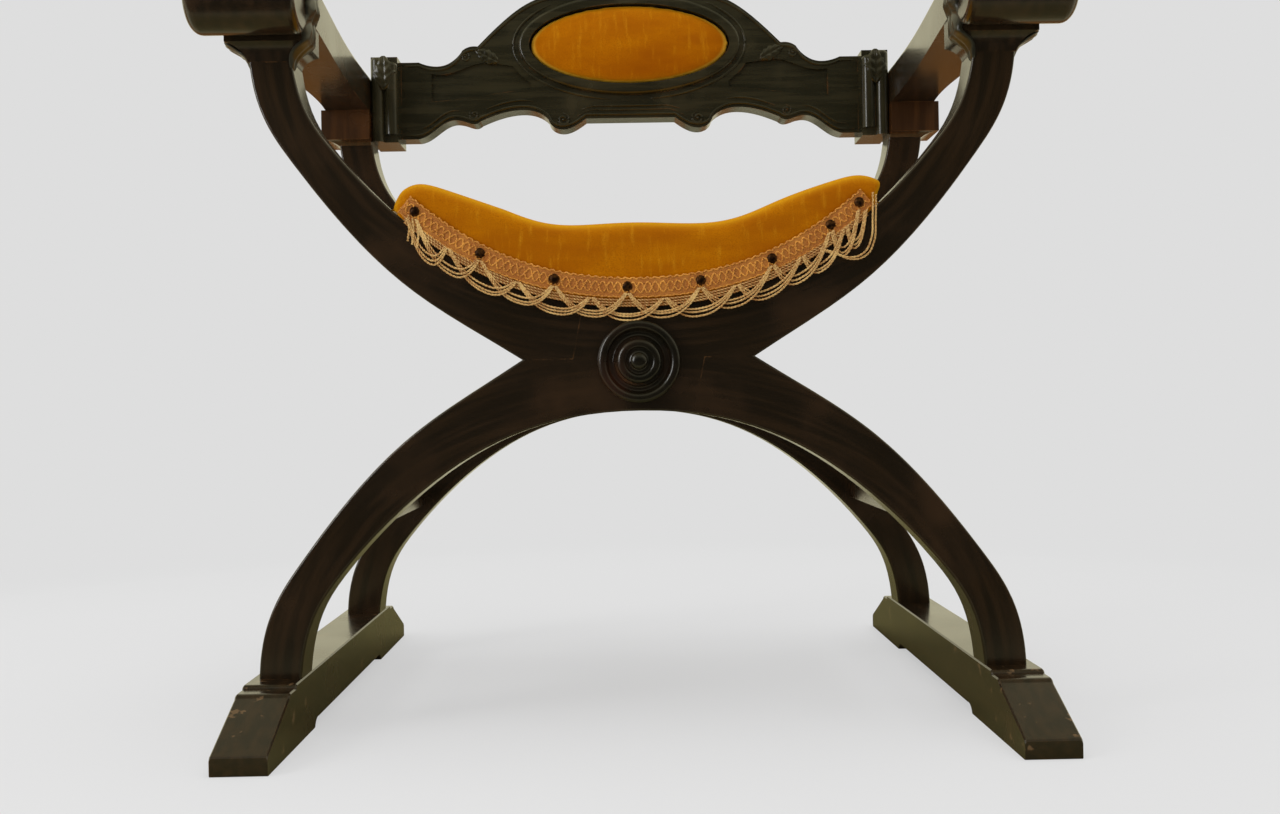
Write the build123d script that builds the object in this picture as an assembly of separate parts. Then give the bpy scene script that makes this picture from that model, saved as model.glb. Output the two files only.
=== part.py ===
from build123d import *

import os
from math import cos, radians, sin

# Cross-leg armchair on two fixed cross frames, with sled feet, scrolled arms, a carved back rail
# and an upholstered seat that drops into the upper curve of the frames.
# Millimetres. X runs left to right for somebody who faces the chair, Y from front to back, Z up.
# The origin is on the floor, under the middle of the chair.

# Cross frames
frame_width = 640.0  # over the outer edges of the legs
frame_gap = 302.0  # clear distance between the front and the rear frame
leg_thickness = 38.0  # front to back
crossing_height = 312.0  # floor to the level seam of the halving joint
leg_top = 563.0  # floor to the shoulder under the capital
upright_margin = 11.0  # from that shoulder to where the curve of the upper limb would come upright
crotch_half = 97.0  # middle of the frame to the notch between an upper and a lower limb
limb_depth = 44.0  # height of one limb at the middle of the frame
leg_end_width = 35.0  # width of a leg at the foot and at the capital
crotch_angle = 33.0  # slope of the outer edge where it leaves the notch
edge_round = 2.0  # softened long edges
lap_half = 55.0  # middle of the frame to the shoulder of the halving joint
lap_taper = 9.0  # how much the shoulder leans in over the depth of a limb
tenon_width = 20.0  # leg tenons, left to right
tenon_depth = 22.0  # leg tenons, front to back
foot_tenon = 28.0  # length of a leg tenon in the foot
arm_tenon = 24.0  # length of a leg tenon in the arm, past the capital

# Feet
foot_height = 50.0
foot_width = 44.0
foot_overhang = 107.0  # toe beyond the front of the frame, and heel beyond its back
foot_offset = 8.0  # outer side of the foot beyond the outer edge of the leg
toe_height = 15.0
toe_slope_start = 42.0  # frame face to the top of the toe's slope
moulding_step = 3.0  # height of each of the two small steps above the slope
pad_length = 147.0  # part of each end of the foot that touches the floor
foot_relief = 7.0  # clearance under the middle of the foot

# Stretchers and rosettes
side_stretcher_setback = 34.0  # outer edge of the limb to the inner face of a side stretcher
side_stretcher_width = 16.0
side_stretcher_height = 28.0
side_stretcher_bottom = 168.0
side_tenon = 14.0
side_tenon_shoulder = 3.0
axis_drop = 3.0  # axis of the rosettes and the centre stretcher, below the seam
axis_tenon_radius = 10.0
axis_tenon_reach = 9.0  # how far the turned tenon enters a rosette
rosette_radius = 34.5
rosette_depth = 16.0
stretcher_radius = 23.0  # largest radius of the turned centre stretcher

# Capitals
capital_height = 37.0
capital_cove = 15.0  # height of the hollow part of the front capitals
rear_capital_cove = 5.0
capital_flare = 17.0  # projection at the outer side
capital_inner_flare = 13.0
capital_front_flare = 9.0

# Arms
arm_thickness = 40.0
scroll_inset = 17.0  # inner edge of the scroll, inside the inner side of the leg
scroll_outset = 37.0  # outer edge of the scroll, beyond the outer side of the leg
arm_waist_outset = 16.0  # the same at the waist of the arm
arm_rear_outset = 26.0  # the same at its rear end
scroll_radius = 31.0
scroll_overhang = 60.0  # front of the scroll beyond the front of the frame
arm_rear_overhang = 25.0  # rear end of the arm beyond the back of the frame
arm_outer_round = 9.0  # rounding of the outer top edge, which runs on round the scroll
arm_inner_round = 6.0

# Back rail and posts
rail_thickness = 26.0
rail_setback = 30.0  # front of the rail behind the front of the rear frame
rail_end_drop = 25.0  # bottom of the rail's ends, below the underside of the arms
rail_end_rise = 21.0  # top of the rail's ends, above the top of the arms
rail_crest_rise = 104.0  # crest, above the top of the arms
panel_sinking = 3.0  # depth of the sunk panel at each side of the oval
panel_margin = 34.0  # end of the rail to the outer end of a sunk panel
panel_gap = 27.0  # pad to the inner end of a sunk panel
post_width = 29.0
post_front = 6.0  # front of the post behind the front of the rear frame
post_drop = 33.0  # bottom of the posts, below the underside of the arms
post_rise = 20.0  # top of the posts, above the top of the arms
bead_radius = 7.0
rail_tenon = 12.0
rail_tenon_shoulder = 7.0
oval_rise = 38.0  # centre of the oval pad, above the top of the arms
oval_half_width = 111.0
oval_half_height = 43.5
oval_moulding = 13.0  # width of the oval ring
oval_proud = 5.0  # ring in front of the border
oval_recess = 14.0
pad_board_thickness = 7.0
pad_clearance = 1.0
pad_crown = 9.0

# Seat
seat_clearance = 0.4  # between the seat and the frames
seat_half_width = 203.0
seat_board_half = 186.0  # half width of the wooden seat frame
seat_rail_height = 18.0
seat_rail_depth = 22.0
seat_end_rail_width = 20.0
seat_proud = 2.0  # front of the seat frame in front of the cross frame
seat_bearing = 15.0  # how far the seat lies on the rear frame
seat_rise = 68.5  # top of the seat above the frame's inner curve, at the middle
seat_roll_rise = 35.2  # top of the end rolls above the middle of the seat
slat_thickness = 8.0
slat_count = 9
slat_gap = 3.0
glue_line = 0.15
velvet = 2.0
braid_height = 20.0
braid_thickness = 2.0
braid_half = 192.0
braid_rise = 4.0  # lower edge of the braid above the frame's inner curve
fringe_drop = 11.0  # lower edge of the fringe below the frame's inner curve
fringe_thickness = 2.0
nail_rise = 15.0  # nails above the frame's inner curve
nail_head_radius = 4.2
nail_head_height = 2.4
rear_head_height = 1.5
nail_shank_radius = 1.2
nail_length = 18.0
front_nail_shares = (-0.953, -0.677, -0.36, -0.044, 0.273, 0.583, 0.838, 0.965)  # of braid_half

# Pegs and screws
peg_radius = 4.0
foot_peg_length = 30.0
arm_peg_length = 36.0
screw_radius = 2.0
screw_head_radius = 4.0

# Worked out from the sizes above
half_width = frame_width / 2
depth_half = frame_gap / 2 + leg_thickness
leg_inner = half_width - leg_end_width
leg_middle = half_width - leg_end_width / 2
frame_fronts = {"front": -depth_half, "rear": frame_gap / 2}
upper_reach = leg_top + upright_margin - crossing_height
lower_reach = crossing_height - foot_height
arm_bottom = leg_top + capital_height
arm_top = arm_bottom + arm_thickness
axis_height = crossing_height - axis_drop
post_inner = leg_inner - post_width
rail_end_bottom = arm_bottom - rail_end_drop
rail_end_top = arm_top + rail_end_rise
rail_crest = arm_top + rail_crest_rise
oval_centre = arm_top + oval_rise
rear_front = frame_gap / 2
rail_front = rear_front + rail_setback
rail_back = rail_front + rail_thickness
seat_front = -depth_half - seat_proud
seat_back = rear_front + seat_bearing
slat_bottom = seat_rail_height + glue_line
slat_top = slat_bottom + slat_thickness
tall = 1200.0  # larger than the chair, for cutting regions


# Helpers


def front_view(face, y, depth):
    """A face drawn as (x, z), made a solid from y backwards."""
    return extrude(Plane((0, y, 0), x_dir=(1, 0, 0), z_dir=(0, -1, 0)) * face, amount=-depth)


def side_view(face, x, width):
    """A face drawn as (y, z), made a solid from x to the right."""
    return extrude(Plane((x, 0, 0), x_dir=(0, 1, 0), z_dir=(1, 0, 0)) * face, amount=width)


def plan_view(face, z, height):
    """A face drawn as (x, y), made a solid from z upwards."""
    return extrude(Pos(0, 0, z) * face, amount=height)


def block(x0, x1, y0, y1, z0, z1):
    """A box between two corners."""
    return Pos((x0 + x1) / 2, (y0 + y1) / 2, (z0 + z1) / 2) * Box(x1 - x0, y1 - y0, z1 - z0)


def rod(centre, radius, length, direction):
    """A cylinder that starts at centre and runs along direction."""
    return extrude(Plane(centre, z_dir=direction) * Circle(radius), amount=length)


def turned(profile, y, z):
    """A profile drawn as (radius, depth), turned about an axis along Y."""
    face = Plane((0, y, z), x_dir=(1, 0, 0), z_dir=(0, 0, 1)) * profile
    return revolve(face, Axis((0, y, z), (0, 1, 0)))


def left_of(part):
    """The same piece on the other side of the chair."""
    return mirror(part, about=Plane.YZ)


def save(name, *parts):
    """Writes one node, from one solid or a group of solids."""
    solids = [solid for part in parts for solid in part.solids()]
    export_step(solids[0] if len(solids) == 1 else Compound(children=solids), f"parts/{name}.step")


# Cross frames


def share_points(start, end, shares):
    """Points between start and end, as shares of the way across and up."""
    return [
        (start[0] + (end[0] - start[0]) * across, start[1] + (end[1] - start[1]) * up)
        for across, up in shares
    ]


def inner_edge(reach):
    """Inner edge of a limb, from the middle of the frame to its end."""
    start, end = (0, limb_depth), (leg_inner, reach)
    middle = share_points(start, end, [(0.545, 0.204), (0.89, 0.624)])
    return Spline(start, *middle, end, tangents=[(1, 0), (0.08, 1)])


def outer_edge(reach):
    """Outer edge of a limb, from the notch to its end."""
    start, end = (crotch_half, 0), (half_width, reach)
    middle = share_points(start, end, [(0.443, 0.252), (0.841, 0.634)])
    leaving = (cos(radians(crotch_angle)), sin(radians(crotch_angle)))
    return Spline(start, *middle, end, tangents=[leaving, (0.03, 1)])


def limb(reach):
    """Half of the upper curve: right limb, drawn upwards from the seam."""
    return make_face(
        [
            Line((0, 0), (crotch_half, 0)),
            outer_edge(reach),
            Line((half_width, reach), (leg_inner, reach)),
            inner_edge(reach),
            Line((0, limb_depth), (0, 0)),
        ]
    )


def frame_outline():
    """Front view of a whole cross frame, without its tenons."""
    upper = limb(upper_reach)
    lower = mirror(limb(lower_reach), about=Plane.XZ)
    right = upper + lower
    whole = right + mirror(right, about=Plane.YZ)
    trimmed = whole & (Pos(0, leg_top - crossing_height - tall / 2) * Rectangle(tall, tall))
    return Pos(0, crossing_height) * trimmed


def lap_region():
    """The middle of the frame, where both members are cut to half their thickness."""
    reach = limb_depth * 1.5
    lean = lap_half - lap_taper * 1.5
    corners = [(lap_half, 0), (lean, reach), (-lean, reach)]
    corners += [(-x, -z) for x, z in corners]
    return Pos(0, crossing_height) * make_face(Polyline(*corners, close=True))


def leg_tenons(side, y_middle, upper):
    """One tenon, into the foot or up through the capital into the arm."""
    x0 = side * leg_middle - tenon_width / 2
    y0 = y_middle - tenon_depth / 2
    if upper:
        z0, z1 = leg_top, arm_bottom + arm_tenon
    else:
        z0, z1 = foot_height - foot_tenon, foot_height
    return block(x0, x0 + tenon_width, y0, y0 + tenon_depth, z0, z1)


def side_stretcher_solid(side, half_length, trim):
    """A rectangular bar along the chair; trim takes it down to the size of its tenons."""
    depth = crossing_height - side_stretcher_bottom
    level = Line((0, depth), (half_width, depth))
    limb_outside = outer_edge(lower_reach).intersect(level).vertices()[0].X
    x0 = limb_outside - side_stretcher_setback + trim
    x1 = x0 + side_stretcher_width - 2 * trim
    z0, z1 = side_stretcher_bottom + trim, side_stretcher_bottom + side_stretcher_height - trim
    bar = block(x0, x1, -half_length, half_length, z0, z1)
    return bar if side > 0 else left_of(bar)


def softened(frame, y):
    """Rounds the long edges of a cross frame, front and back."""
    faces = [y, y + leg_thickness]
    long_edges = [
        edge
        for edge in frame.edges()
        if min(abs(edge.center().Y - face) for face in faces) < 0.01
        and abs(edge.center().Z - foot_height) > 1
        and abs(edge.center().Z - leg_top) > 1
    ]
    return fillet(long_edges, edge_round)


def cross_frame(y):
    """Both members of the cross frame whose front is at y."""
    blank = softened(front_view(frame_outline(), y, leg_thickness), y)
    half = leg_thickness / 2
    lap = lap_region()
    upper_half = Pos(tall / 2, crossing_height + tall / 2) * Rectangle(tall, tall)
    lower_half = Pos(-tall / 2, crossing_height - tall / 2) * Rectangle(tall, tall)
    rising_right = front_view((upper_half + lower_half) - lap, y, leg_thickness)
    front_lap = front_view(lap, y, half)
    bore = rod((0, y, axis_height), axis_tenon_radius, leg_thickness, (0, 1, 0))
    right = (blank & (rising_right + front_lap)) - bore
    rising_left = front_view(mirror((upper_half + lower_half), about=Plane.YZ) - lap, y, leg_thickness)
    rear_lap = front_view(lap, y + half, half)
    left = (blank & (rising_left + rear_lap)) - bore
    members = {}
    for name, body, side in (("rising_right", right, 1), ("rising_left", left, -1)):
        body += leg_tenons(side, y + half, True)
        body += leg_tenons(-side, y + half, False)
        for stretcher_side in (-1, 1):
            body -= side_stretcher_solid(stretcher_side, frame_gap / 2 + side_tenon, side_tenon_shoulder)
        members[name] = body
    return members


# Feet


def foot():
    """Right foot: one runner under both frames, the same at the toe and the heel."""
    end = depth_half + foot_overhang
    slope = depth_half + toe_slope_start
    step = slope - 2
    second = depth_half + toe_slope_start / 2
    low = foot_height - 2 * moulding_step
    mid = foot_height - moulding_step
    pad = end - pad_length
    half = [
        Line((0, foot_relief), (pad - 2 * foot_relief, foot_relief)),
        ThreePointArc(
            (pad - 2 * foot_relief, foot_relief),
            (pad - 0.5 * foot_relief, 0.65 * foot_relief),
            (pad, 0),
        ),
        Line((pad, 0), (end - 1, 0)),
        Line((end - 1, 0), (end, 1)),
        Line((end, 1), (end, toe_height - 1)),
        Line((end, toe_height - 1), (end - 1, toe_height + 0.5)),
        Line((end - 1, toe_height + 0.5), (slope, low)),
        ThreePointArc((slope, low), (step, low + 2), (step - 3, mid)),
        Line((step - 3, mid), (second, mid)),
        ThreePointArc((second, mid), (second - 1.5, mid + 0.72 * moulding_step), (second - 4, foot_height)),
        Line((second - 4, foot_height), (0, foot_height)),
    ]
    half_face = make_face([*half, Line((0, foot_height), (0, foot_relief))])
    runner = side_view(half_face + mirror(half_face, about=Plane.YZ), 0, foot_width)
    sides = [e for e in runner.edges() if abs(e.center().X % foot_width) < 0.01]
    runner = chamfer([e for e in sides if e.center().Z > foot_relief + 1], 1.2)
    runner = Pos(half_width + foot_offset - foot_width, 0, 0) * runner
    for y in frame_fronts.values():
        runner -= leg_tenons(1, y + leg_thickness / 2, False)
    return runner


def foot_pegs(side):
    """Pegs through the foot and the two leg tenons, from the outer side."""
    x = side * (half_width + foot_offset)
    z = foot_height - foot_tenon / 2
    return [
        rod((x, y + leg_thickness / 2, z), peg_radius, foot_peg_length, (-side, 0, 0))
        for y in frame_fronts.values()
    ]


# Stretchers and rosettes


def centre_stretcher():
    """Turned bar between the crossings; its end tenons pin both halving joints."""
    end = frame_gap / 2
    reach = end + leg_thickness + axis_tenon_reach
    r = stretcher_radius
    tenon = axis_tenon_radius - 0.05
    outline = [
        Line((0, 0), (r, 0)),
        ThreePointArc((r, 0), (0.93 * r, 0.3 * end), (0.62 * r, 0.62 * end)),
        Line((0.62 * r, 0.62 * end), (0.8 * r, 0.62 * end)),
        ThreePointArc((0.8 * r, 0.62 * end), (0.92 * r, 0.66 * end), (0.8 * r, 0.7 * end)),
        Line((0.8 * r, 0.7 * end), (0.66 * r, 0.7 * end)),
        ThreePointArc((0.66 * r, 0.7 * end), (0.6 * r, 0.8 * end), (0.85 * r, 0.93 * end)),
        Line((0.85 * r, 0.93 * end), (0.95 * r, 0.93 * end)),
        Line((0.95 * r, 0.93 * end), (0.95 * r, end)),
        Line((0.95 * r, end), (tenon, end)),
        Line((tenon, end), (tenon, reach)),
        Line((tenon, reach), (0, reach)),
        Line((0, reach), (0, 0)),
    ]
    half = turned(make_face(outline), 0, axis_height)
    return half + mirror(half, about=Plane.XZ)


def rosette(y, facing):
    """Turned rosette on a crossing: outer bead, hollow, inner ring and a round button."""
    r, d = rosette_radius, rosette_depth
    outline = [
        Line((0, 0), (r - 1, 0)),
        Line((r - 1, 0), (r, 1)),
        Line((r, 1), (r, 0.36 * d)),
        ThreePointArc((r, 0.36 * d), (0.89 * r, 0.62 * d), (0.76 * r, 0.42 * d)),
        ThreePointArc((0.76 * r, 0.42 * d), (0.66 * r, 0.3 * d), (0.58 * r, 0.44 * d)),
        Line((0.58 * r, 0.44 * d), (0.54 * r, 0.44 * d)),
        ThreePointArc((0.54 * r, 0.44 * d), (0.45 * r, 0.75 * d), (0.32 * r, 0.66 * d)),
        ThreePointArc((0.32 * r, 0.66 * d), (0.26 * r, 0.62 * d), (0.21 * r, 0.66 * d)),
        Spline((0.21 * r, 0.66 * d), (0.14 * r, 0.93 * d), (0, d), tangents=[(0, 1), (-1, 0)]),
        Line((0, d), (0, 0)),
    ]
    face = make_face(outline)
    if facing < 0:
        face = mirror(face, about=Plane.XZ)
    body = turned(face, y, axis_height)
    socket = rod((0, y, axis_height), axis_tenon_radius, axis_tenon_reach, (0, facing, 0))
    return body - socket


# Capitals and arms


def capital(y, inner_flare, cove_height):
    """Right capital on the leg whose front is at y: a hollow under a plain band, on four sides."""
    top, cove = arm_bottom, leg_top + cove_height

    def side(low, out):
        """One side of the moulding, from the shoulder of the leg up to the band."""
        if out == 0:
            return [Line((low, leg_top), (low, top))]
        curve = ThreePointArc(
            (low, leg_top), (low + 0.35 * out, leg_top + 0.62 * cove_height), (low + out, cove)
        )
        return [curve, Line((low + out, cove), (low + out, top))]

    def section(low, high, low_out, high_out):
        """The moulding in one view, from the low side to the high side."""
        base = Line((low, leg_top), (high, leg_top))
        head = Line((low - low_out, top), (high + high_out, top))
        return make_face([base, head, *side(low, -low_out), *side(high, high_out)])

    across = section(leg_inner, half_width, inner_flare, capital_flare)
    along = section(y, y + leg_thickness, capital_front_flare, capital_front_flare)
    body = front_view(across, -tall / 2, tall) & side_view(along, 0, tall)
    return body - leg_tenons(1, y + leg_thickness / 2, True)


def arm_plan():
    """Right arm from above: wide at the scroll, waisted in the middle."""
    front = -depth_half - scroll_overhang
    rear = depth_half + arm_rear_overhang
    run = rear - front
    scroll_inner = leg_inner - scroll_inset
    scroll_outer = half_width + scroll_outset
    rear_outer = half_width + arm_rear_outset
    inner = Spline(
        (scroll_inner, front),
        (leg_inner - 0.6 * scroll_inset, front + 0.33 * run),
        (leg_inner - 0.1 * scroll_inset, front + 0.62 * run),
        (leg_inner, rear_front),
        tangents=[(0, 1), (0, 1)],
    )
    outer = Spline(
        (rear_outer, rear),
        (half_width + arm_waist_outset, front + 0.55 * run),
        (scroll_outer, front + 0.15 * run),
        (scroll_outer - 1, front),
    )
    return make_face(
        [
            inner,
            Line((leg_inner, rear_front), (leg_inner, rear)),
            Line((leg_inner, rear), (rear_outer, rear)),
            outer,
            Line((scroll_outer - 1, front), (scroll_inner, front)),
        ]
    )


def arm_side():
    """Arm from the side: a board that rolls over into the scroll at its front."""
    middle_y = -depth_half - scroll_overhang + scroll_radius
    middle_z = arm_top - scroll_radius
    rear = depth_half + arm_rear_overhang
    seat_y = -depth_half - capital_front_flare
    drop = (scroll_radius**2 - (seat_y - middle_y) ** 2) ** 0.5
    low = (seat_y, middle_z - drop)
    return make_face(
        [
            Line((middle_y, arm_top), (rear, arm_top)),
            Line((rear, arm_top), (rear, arm_bottom)),
            Line((rear, arm_bottom), (seat_y, arm_bottom)),
            Line((seat_y, arm_bottom), low),
            ThreePointArc(low, (middle_y - scroll_radius, middle_z), (middle_y, arm_top)),
        ]
    )


def arm():
    """Right arm, with the mortises for its two legs."""
    board = side_view(arm_side(), 0, tall) & plan_view(arm_plan(), 0, tall)
    long_edges = [e for e in board.edges() if abs(e.center().Z - arm_top) < 0.5 and e.length > frame_gap]
    board = fillet([e for e in long_edges if e.center().X > leg_middle], arm_outer_round)
    long_edges = [e for e in board.edges() if abs(e.center().Z - arm_top) < 0.5 and e.length > frame_gap]
    board = fillet([e for e in long_edges if e.center().X < leg_middle], arm_inner_round)
    for y in frame_fronts.values():
        board -= leg_tenons(1, y + leg_thickness / 2, True)
    return board


def arm_pegs(side):
    """Pegs through the arm and the two leg tenons, from the outer edge."""
    x = side * (leg_middle - tenon_width / 2 - 4 + arm_peg_length)
    z = arm_bottom + arm_tenon / 2
    return [
        rod((x, y + leg_thickness / 2, z), peg_radius, arm_peg_length, (-side, 0, 0))
        for y in frame_fronts.values()
    ]


# Back


def back_post():
    """Right post beside the end of the back rail, with two upright beads on its front."""
    front = rear_front + post_front
    bottom, top = arm_bottom - post_drop, arm_top + post_rise
    body = block(post_inner, leg_inner, front, rail_back, bottom, rail_end_top)
    beads = ((post_inner + bead_radius, rail_end_bottom, top - 5), (leg_inner - bead_radius, bottom, top))
    for x, bottom, top in beads:
        bead = rod((x, front, bottom), bead_radius, top - bottom, (0, 0, 1))
        body += fillet(bead.edges().sort_by(Axis.Z)[-1], bead_radius * 0.6)
    mortise = block(post_inner, post_inner + rail_tenon, *rail_tenon_section())
    return body - mortise


def rail_tenon_section():
    """Front, back, bottom and top of the tenon at each end of the back rail."""
    trim = rail_tenon_shoulder
    return rail_front + trim, rail_back - trim, rail_end_bottom + trim, rail_end_top - trim


def rail_outline():
    """Front view of the back rail: level ends, hollows and small lobes below, a crest above."""
    end = post_inner
    low, high = rail_end_bottom, rail_end_top

    def below(*places):
        """Points of the lower edge: share of the half length, and height above the ends."""
        return [(share * end, low + rise) for share, rise in places]

    def above(*places):
        """Points of the upper edge, in the same way."""
        return [(share * end, high + rise) for share, rise in places]

    bottom = [
        Line(*below((0, 20.5), (0.195, 20.5))),
        Spline(*below((0.195, 20.5), (0.242, 12.5), (0.297, 8.5), (0.344, 13), (0.359, 20))),
        Spline(*below((0.359, 20), (0.422, 29.5), (0.508, 30.5), (0.613, 23.5), (0.656, 19))),
        Spline(*below((0.656, 19), (0.684, 16), (0.715, 18), (0.742, 20))),
        Spline(*below((0.742, 20), (0.797, 19), (0.855, 9.5), (0.906, 1.5), (0.93, 0))),
        Line(*below((0.93, 0), (1, 0))),
    ]
    shoulder = above((0.664, 17))[0]
    top = [
        Line((end, low), (end, high)),
        Line(*above((1, 0), (0.922, 0))),
        Spline(*above((0.922, 0), (0.875, -4), (0.809, -3.5), (0.766, 2.5), (0.73, 13))),
        Spline(*above((0.73, 13), (0.703, 16.5)), shoulder),
        Spline(
            shoulder,
            *above((0.535, 48), (0.43, 66)),
            (0.234 * end, rail_crest - 4),
            (0, rail_crest),
            tangents=[(-0.7, 0.7), (-1, 0)],
        ),
    ]
    half = make_face([*bottom, *top, Line((0, rail_crest), (0, low + 20.5))])
    return half + mirror(half, about=Plane.YZ)


def oval(grow):
    """The oval of the back pad, made larger all round by grow."""
    return Pos(0, oval_centre) * Ellipse(oval_half_width + grow, oval_half_height + grow)


def sunk_panel():
    """Outline of the right sunk panel, between the oval moulding and the end of the rail."""
    low, high = rail_end_bottom, rail_end_top
    start, end = oval_half_width, post_inner - panel_margin
    run = end - start
    panel = make_face(
        [
            Spline(
                (start, high - 6),
                (start + 0.33 * run, high - 3),
                (start + 0.51 * run, high - 2),
                (start + 0.73 * run, high - 10),
                (end, high - 13),
            ),
            Line((end, high - 13), (end, low + 42)),
            Spline(
                (end, low + 42),
                (end - 0.29 * run, low + 45),
                (end - 0.56 * run, low + 49),
                (start, low + 54),
            ),
            Line((start, low + 54), (start, high - 6)),
        ]
    )
    return panel - oval(panel_gap)


def back_rail():
    """Carved back rail: sunk side panels, the oval ring and the recess for the pad."""
    body = front_view(rail_outline(), rail_front, rail_thickness)
    panel = front_view(sunk_panel(), rail_front, panel_sinking)
    body -= panel
    body -= left_of(panel)
    ring_front = rail_front - oval_proud
    ring = front_view(oval(oval_moulding), ring_front, 2 * oval_proud)
    ring = fillet(ring.edges().sort_by(Axis.Y)[0], 3.5)
    body += ring
    body -= front_view(oval(pad_clearance), ring_front, oval_recess + oval_proud)
    root = post_inner - rail_tenon
    tenon = block(root, post_inner + rail_tenon, *rail_tenon_section())
    body += tenon
    body += left_of(tenon)
    for screw in pad_screws():
        body -= screw
    return body


def pad_board():
    """Oval board that carries the back pad, at the bottom of the recess."""
    y = rail_front + oval_recess - pad_board_thickness
    board = front_view(oval(0), y, pad_board_thickness)
    for screw in pad_screws():
        board -= screw
    return board


def back_pad():
    """Oval pad: a flat back on the board and a low crown, turned round and then stretched."""
    board_front = rail_front + oval_recess - pad_board_thickness
    rim = board_front - rail_front + 1
    r = oval_half_height
    outline = [
        Line((0, 0), (r, 0)),
        Line((r, 0), (r, -rim)),
        ThreePointArc((r, -rim), (0.6 * r, -rim - 0.68 * pad_crown), (0, -rim - pad_crown)),
        Line((0, -rim - pad_crown), (0, 0)),
    ]
    stretch = oval_half_width / oval_half_height
    pad = scale(turned(make_face(outline), 0, 0), by=(stretch, 1, 1))
    return Pos(0, board_front, oval_centre) * pad


def pad_screws():
    """Four countersunk screws, from the back of the rail into the pad board."""
    depth = rail_thickness - oval_recess + pad_board_thickness - 1
    screws = []
    for dx, dz in ((-0.7, 0), (0.7, 0), (0, -0.6), (0, 0.6)):
        at = (dx * oval_half_width, rail_back, oval_centre + dz * oval_half_height)
        shank = rod(at, screw_radius, depth, (0, -1, 0))
        head = Plane(at, z_dir=(0, -1, 0)) * Pos(0, 0, 1) * Cone(screw_head_radius, screw_radius, 2)
        screws.append(shank + head)
    return screws


# Seat


def cradle(rise):
    """Inside of the frame's upper curve, lifted by rise."""
    right = inner_edge(upper_reach)
    across = Line((-leg_inner, upper_reach), (leg_inner, upper_reach))
    face = make_face([right, mirror(right, about=Plane.YZ), across])
    return Pos(0, crossing_height + rise) * face


def strip(low, high, x0, x1):
    """Part of the cradle between two heights above its curve, from x0 to x1."""
    window = Pos((x0 + x1) / 2, crossing_height + limb_depth) * Rectangle(x1 - x0, 2 * limb_depth + 100)
    return (cradle(low) - cradle(high)) & window


def cradle_height(x):
    """Height of the frame's inner curve at x."""
    upright = Line((abs(x), 0), (abs(x), upper_reach))
    return crossing_height + inner_edge(upper_reach).intersect(upright).vertices()[0].Y


def seat_profile(trim):
    """Front view of the upholstery, taken in by trim at the top and the ends."""
    half = seat_half_width - trim
    rise = seat_roll_rise
    top = crossing_height + limb_depth + seat_rise - trim
    roll = top + rise
    right = [
        Spline(
            (0, top),
            (0.39 * half, top + 0.03 * rise),
            (0.62 * half, top + 0.55 * rise),
            (0.785 * half, roll - 0.09 * rise),
            (0.885 * half, roll),
            (0.97 * half, roll - 0.22 * rise),
            (half, roll - 0.56 * rise),
            tangents=[(1, 0), (0.05, -1)],
        ),
        Line((half, roll - 0.56 * rise), (half, 0)),
        Line((half, 0), (0, 0)),
        Line((0, 0), (0, top)),
    ]
    face = make_face(right)
    return (face + mirror(face, about=Plane.YZ)) & cradle(seat_clearance)


def seat_rail(y):
    """Curved rail across the chair, whose underside follows the frame's inner curve."""
    face = strip(seat_clearance, seat_rail_height, -seat_board_half, seat_board_half)
    return front_view(face, y, seat_rail_depth)


def seat_end_rail():
    """Right end rail, between the two curved rails."""
    face = strip(
        seat_clearance, seat_rail_height, seat_board_half - seat_end_rail_width, seat_board_half
    )
    y = seat_front + seat_rail_depth
    return front_view(face, y, seat_back - seat_rail_depth - y)


def seat_slats():
    """Boards from front to back, on the curved rails."""
    pitch = (2 * seat_board_half + slat_gap) / slat_count
    slats = []
    for i in range(slat_count):
        x0 = -seat_board_half + i * pitch
        face = strip(slat_bottom, slat_top, x0, x0 + pitch - slat_gap)
        slats.append(front_view(face, seat_front, seat_back - seat_front))
    return slats


def seat_stuffing():
    """Padding over the slats and round the ends of the seat frame."""
    core = strip(0, slat_top + glue_line, -seat_board_half - glue_line, seat_board_half + glue_line)
    face = seat_profile(velvet + glue_line) - core
    return front_view(face, seat_front, seat_back - seat_front)


def seat_cover():
    """Velvet over the top, the ends, the front and the back, open below."""
    outside = front_view(seat_profile(0), seat_front - velvet, seat_back - seat_front + 2 * velvet)
    inside = front_view(seat_profile(velvet), seat_front, seat_back - seat_front)
    core = front_view(
        strip(0, slat_top, -seat_board_half - velvet, seat_board_half + velvet),
        seat_front,
        seat_back - seat_front,
    )
    return outside - inside - core


def seat_braid():
    """Woven braid over the lower front edge of the velvet."""
    face = strip(braid_rise, braid_rise + braid_height, -braid_half, braid_half)
    return front_view(face, seat_front - velvet - braid_thickness, braid_thickness)


def seat_fringe():
    """Outer shape of the looped fringe that hangs from the braid."""
    face = strip(-fringe_drop, braid_rise - glue_line, -braid_half, braid_half)
    return front_view(face, seat_front - velvet - fringe_thickness, fringe_thickness)


def nail(x, y, facing, head_height):
    """Upholstery nail with a domed head; facing is -1 at the front and 1 at the back."""
    z = cradle_height(x) + nail_rise
    ball = (nail_head_radius**2 + head_height**2) / (2 * head_height)
    dome = Pos(x, y - facing * (ball - head_height), z) * Sphere(ball)
    outside = block(-tall, tall, min(y, y + facing * tall), max(y, y + facing * tall), 0, tall)
    return (dome & outside) + rod((x, y, z), nail_shank_radius, nail_length, (0, -facing, 0))


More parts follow.
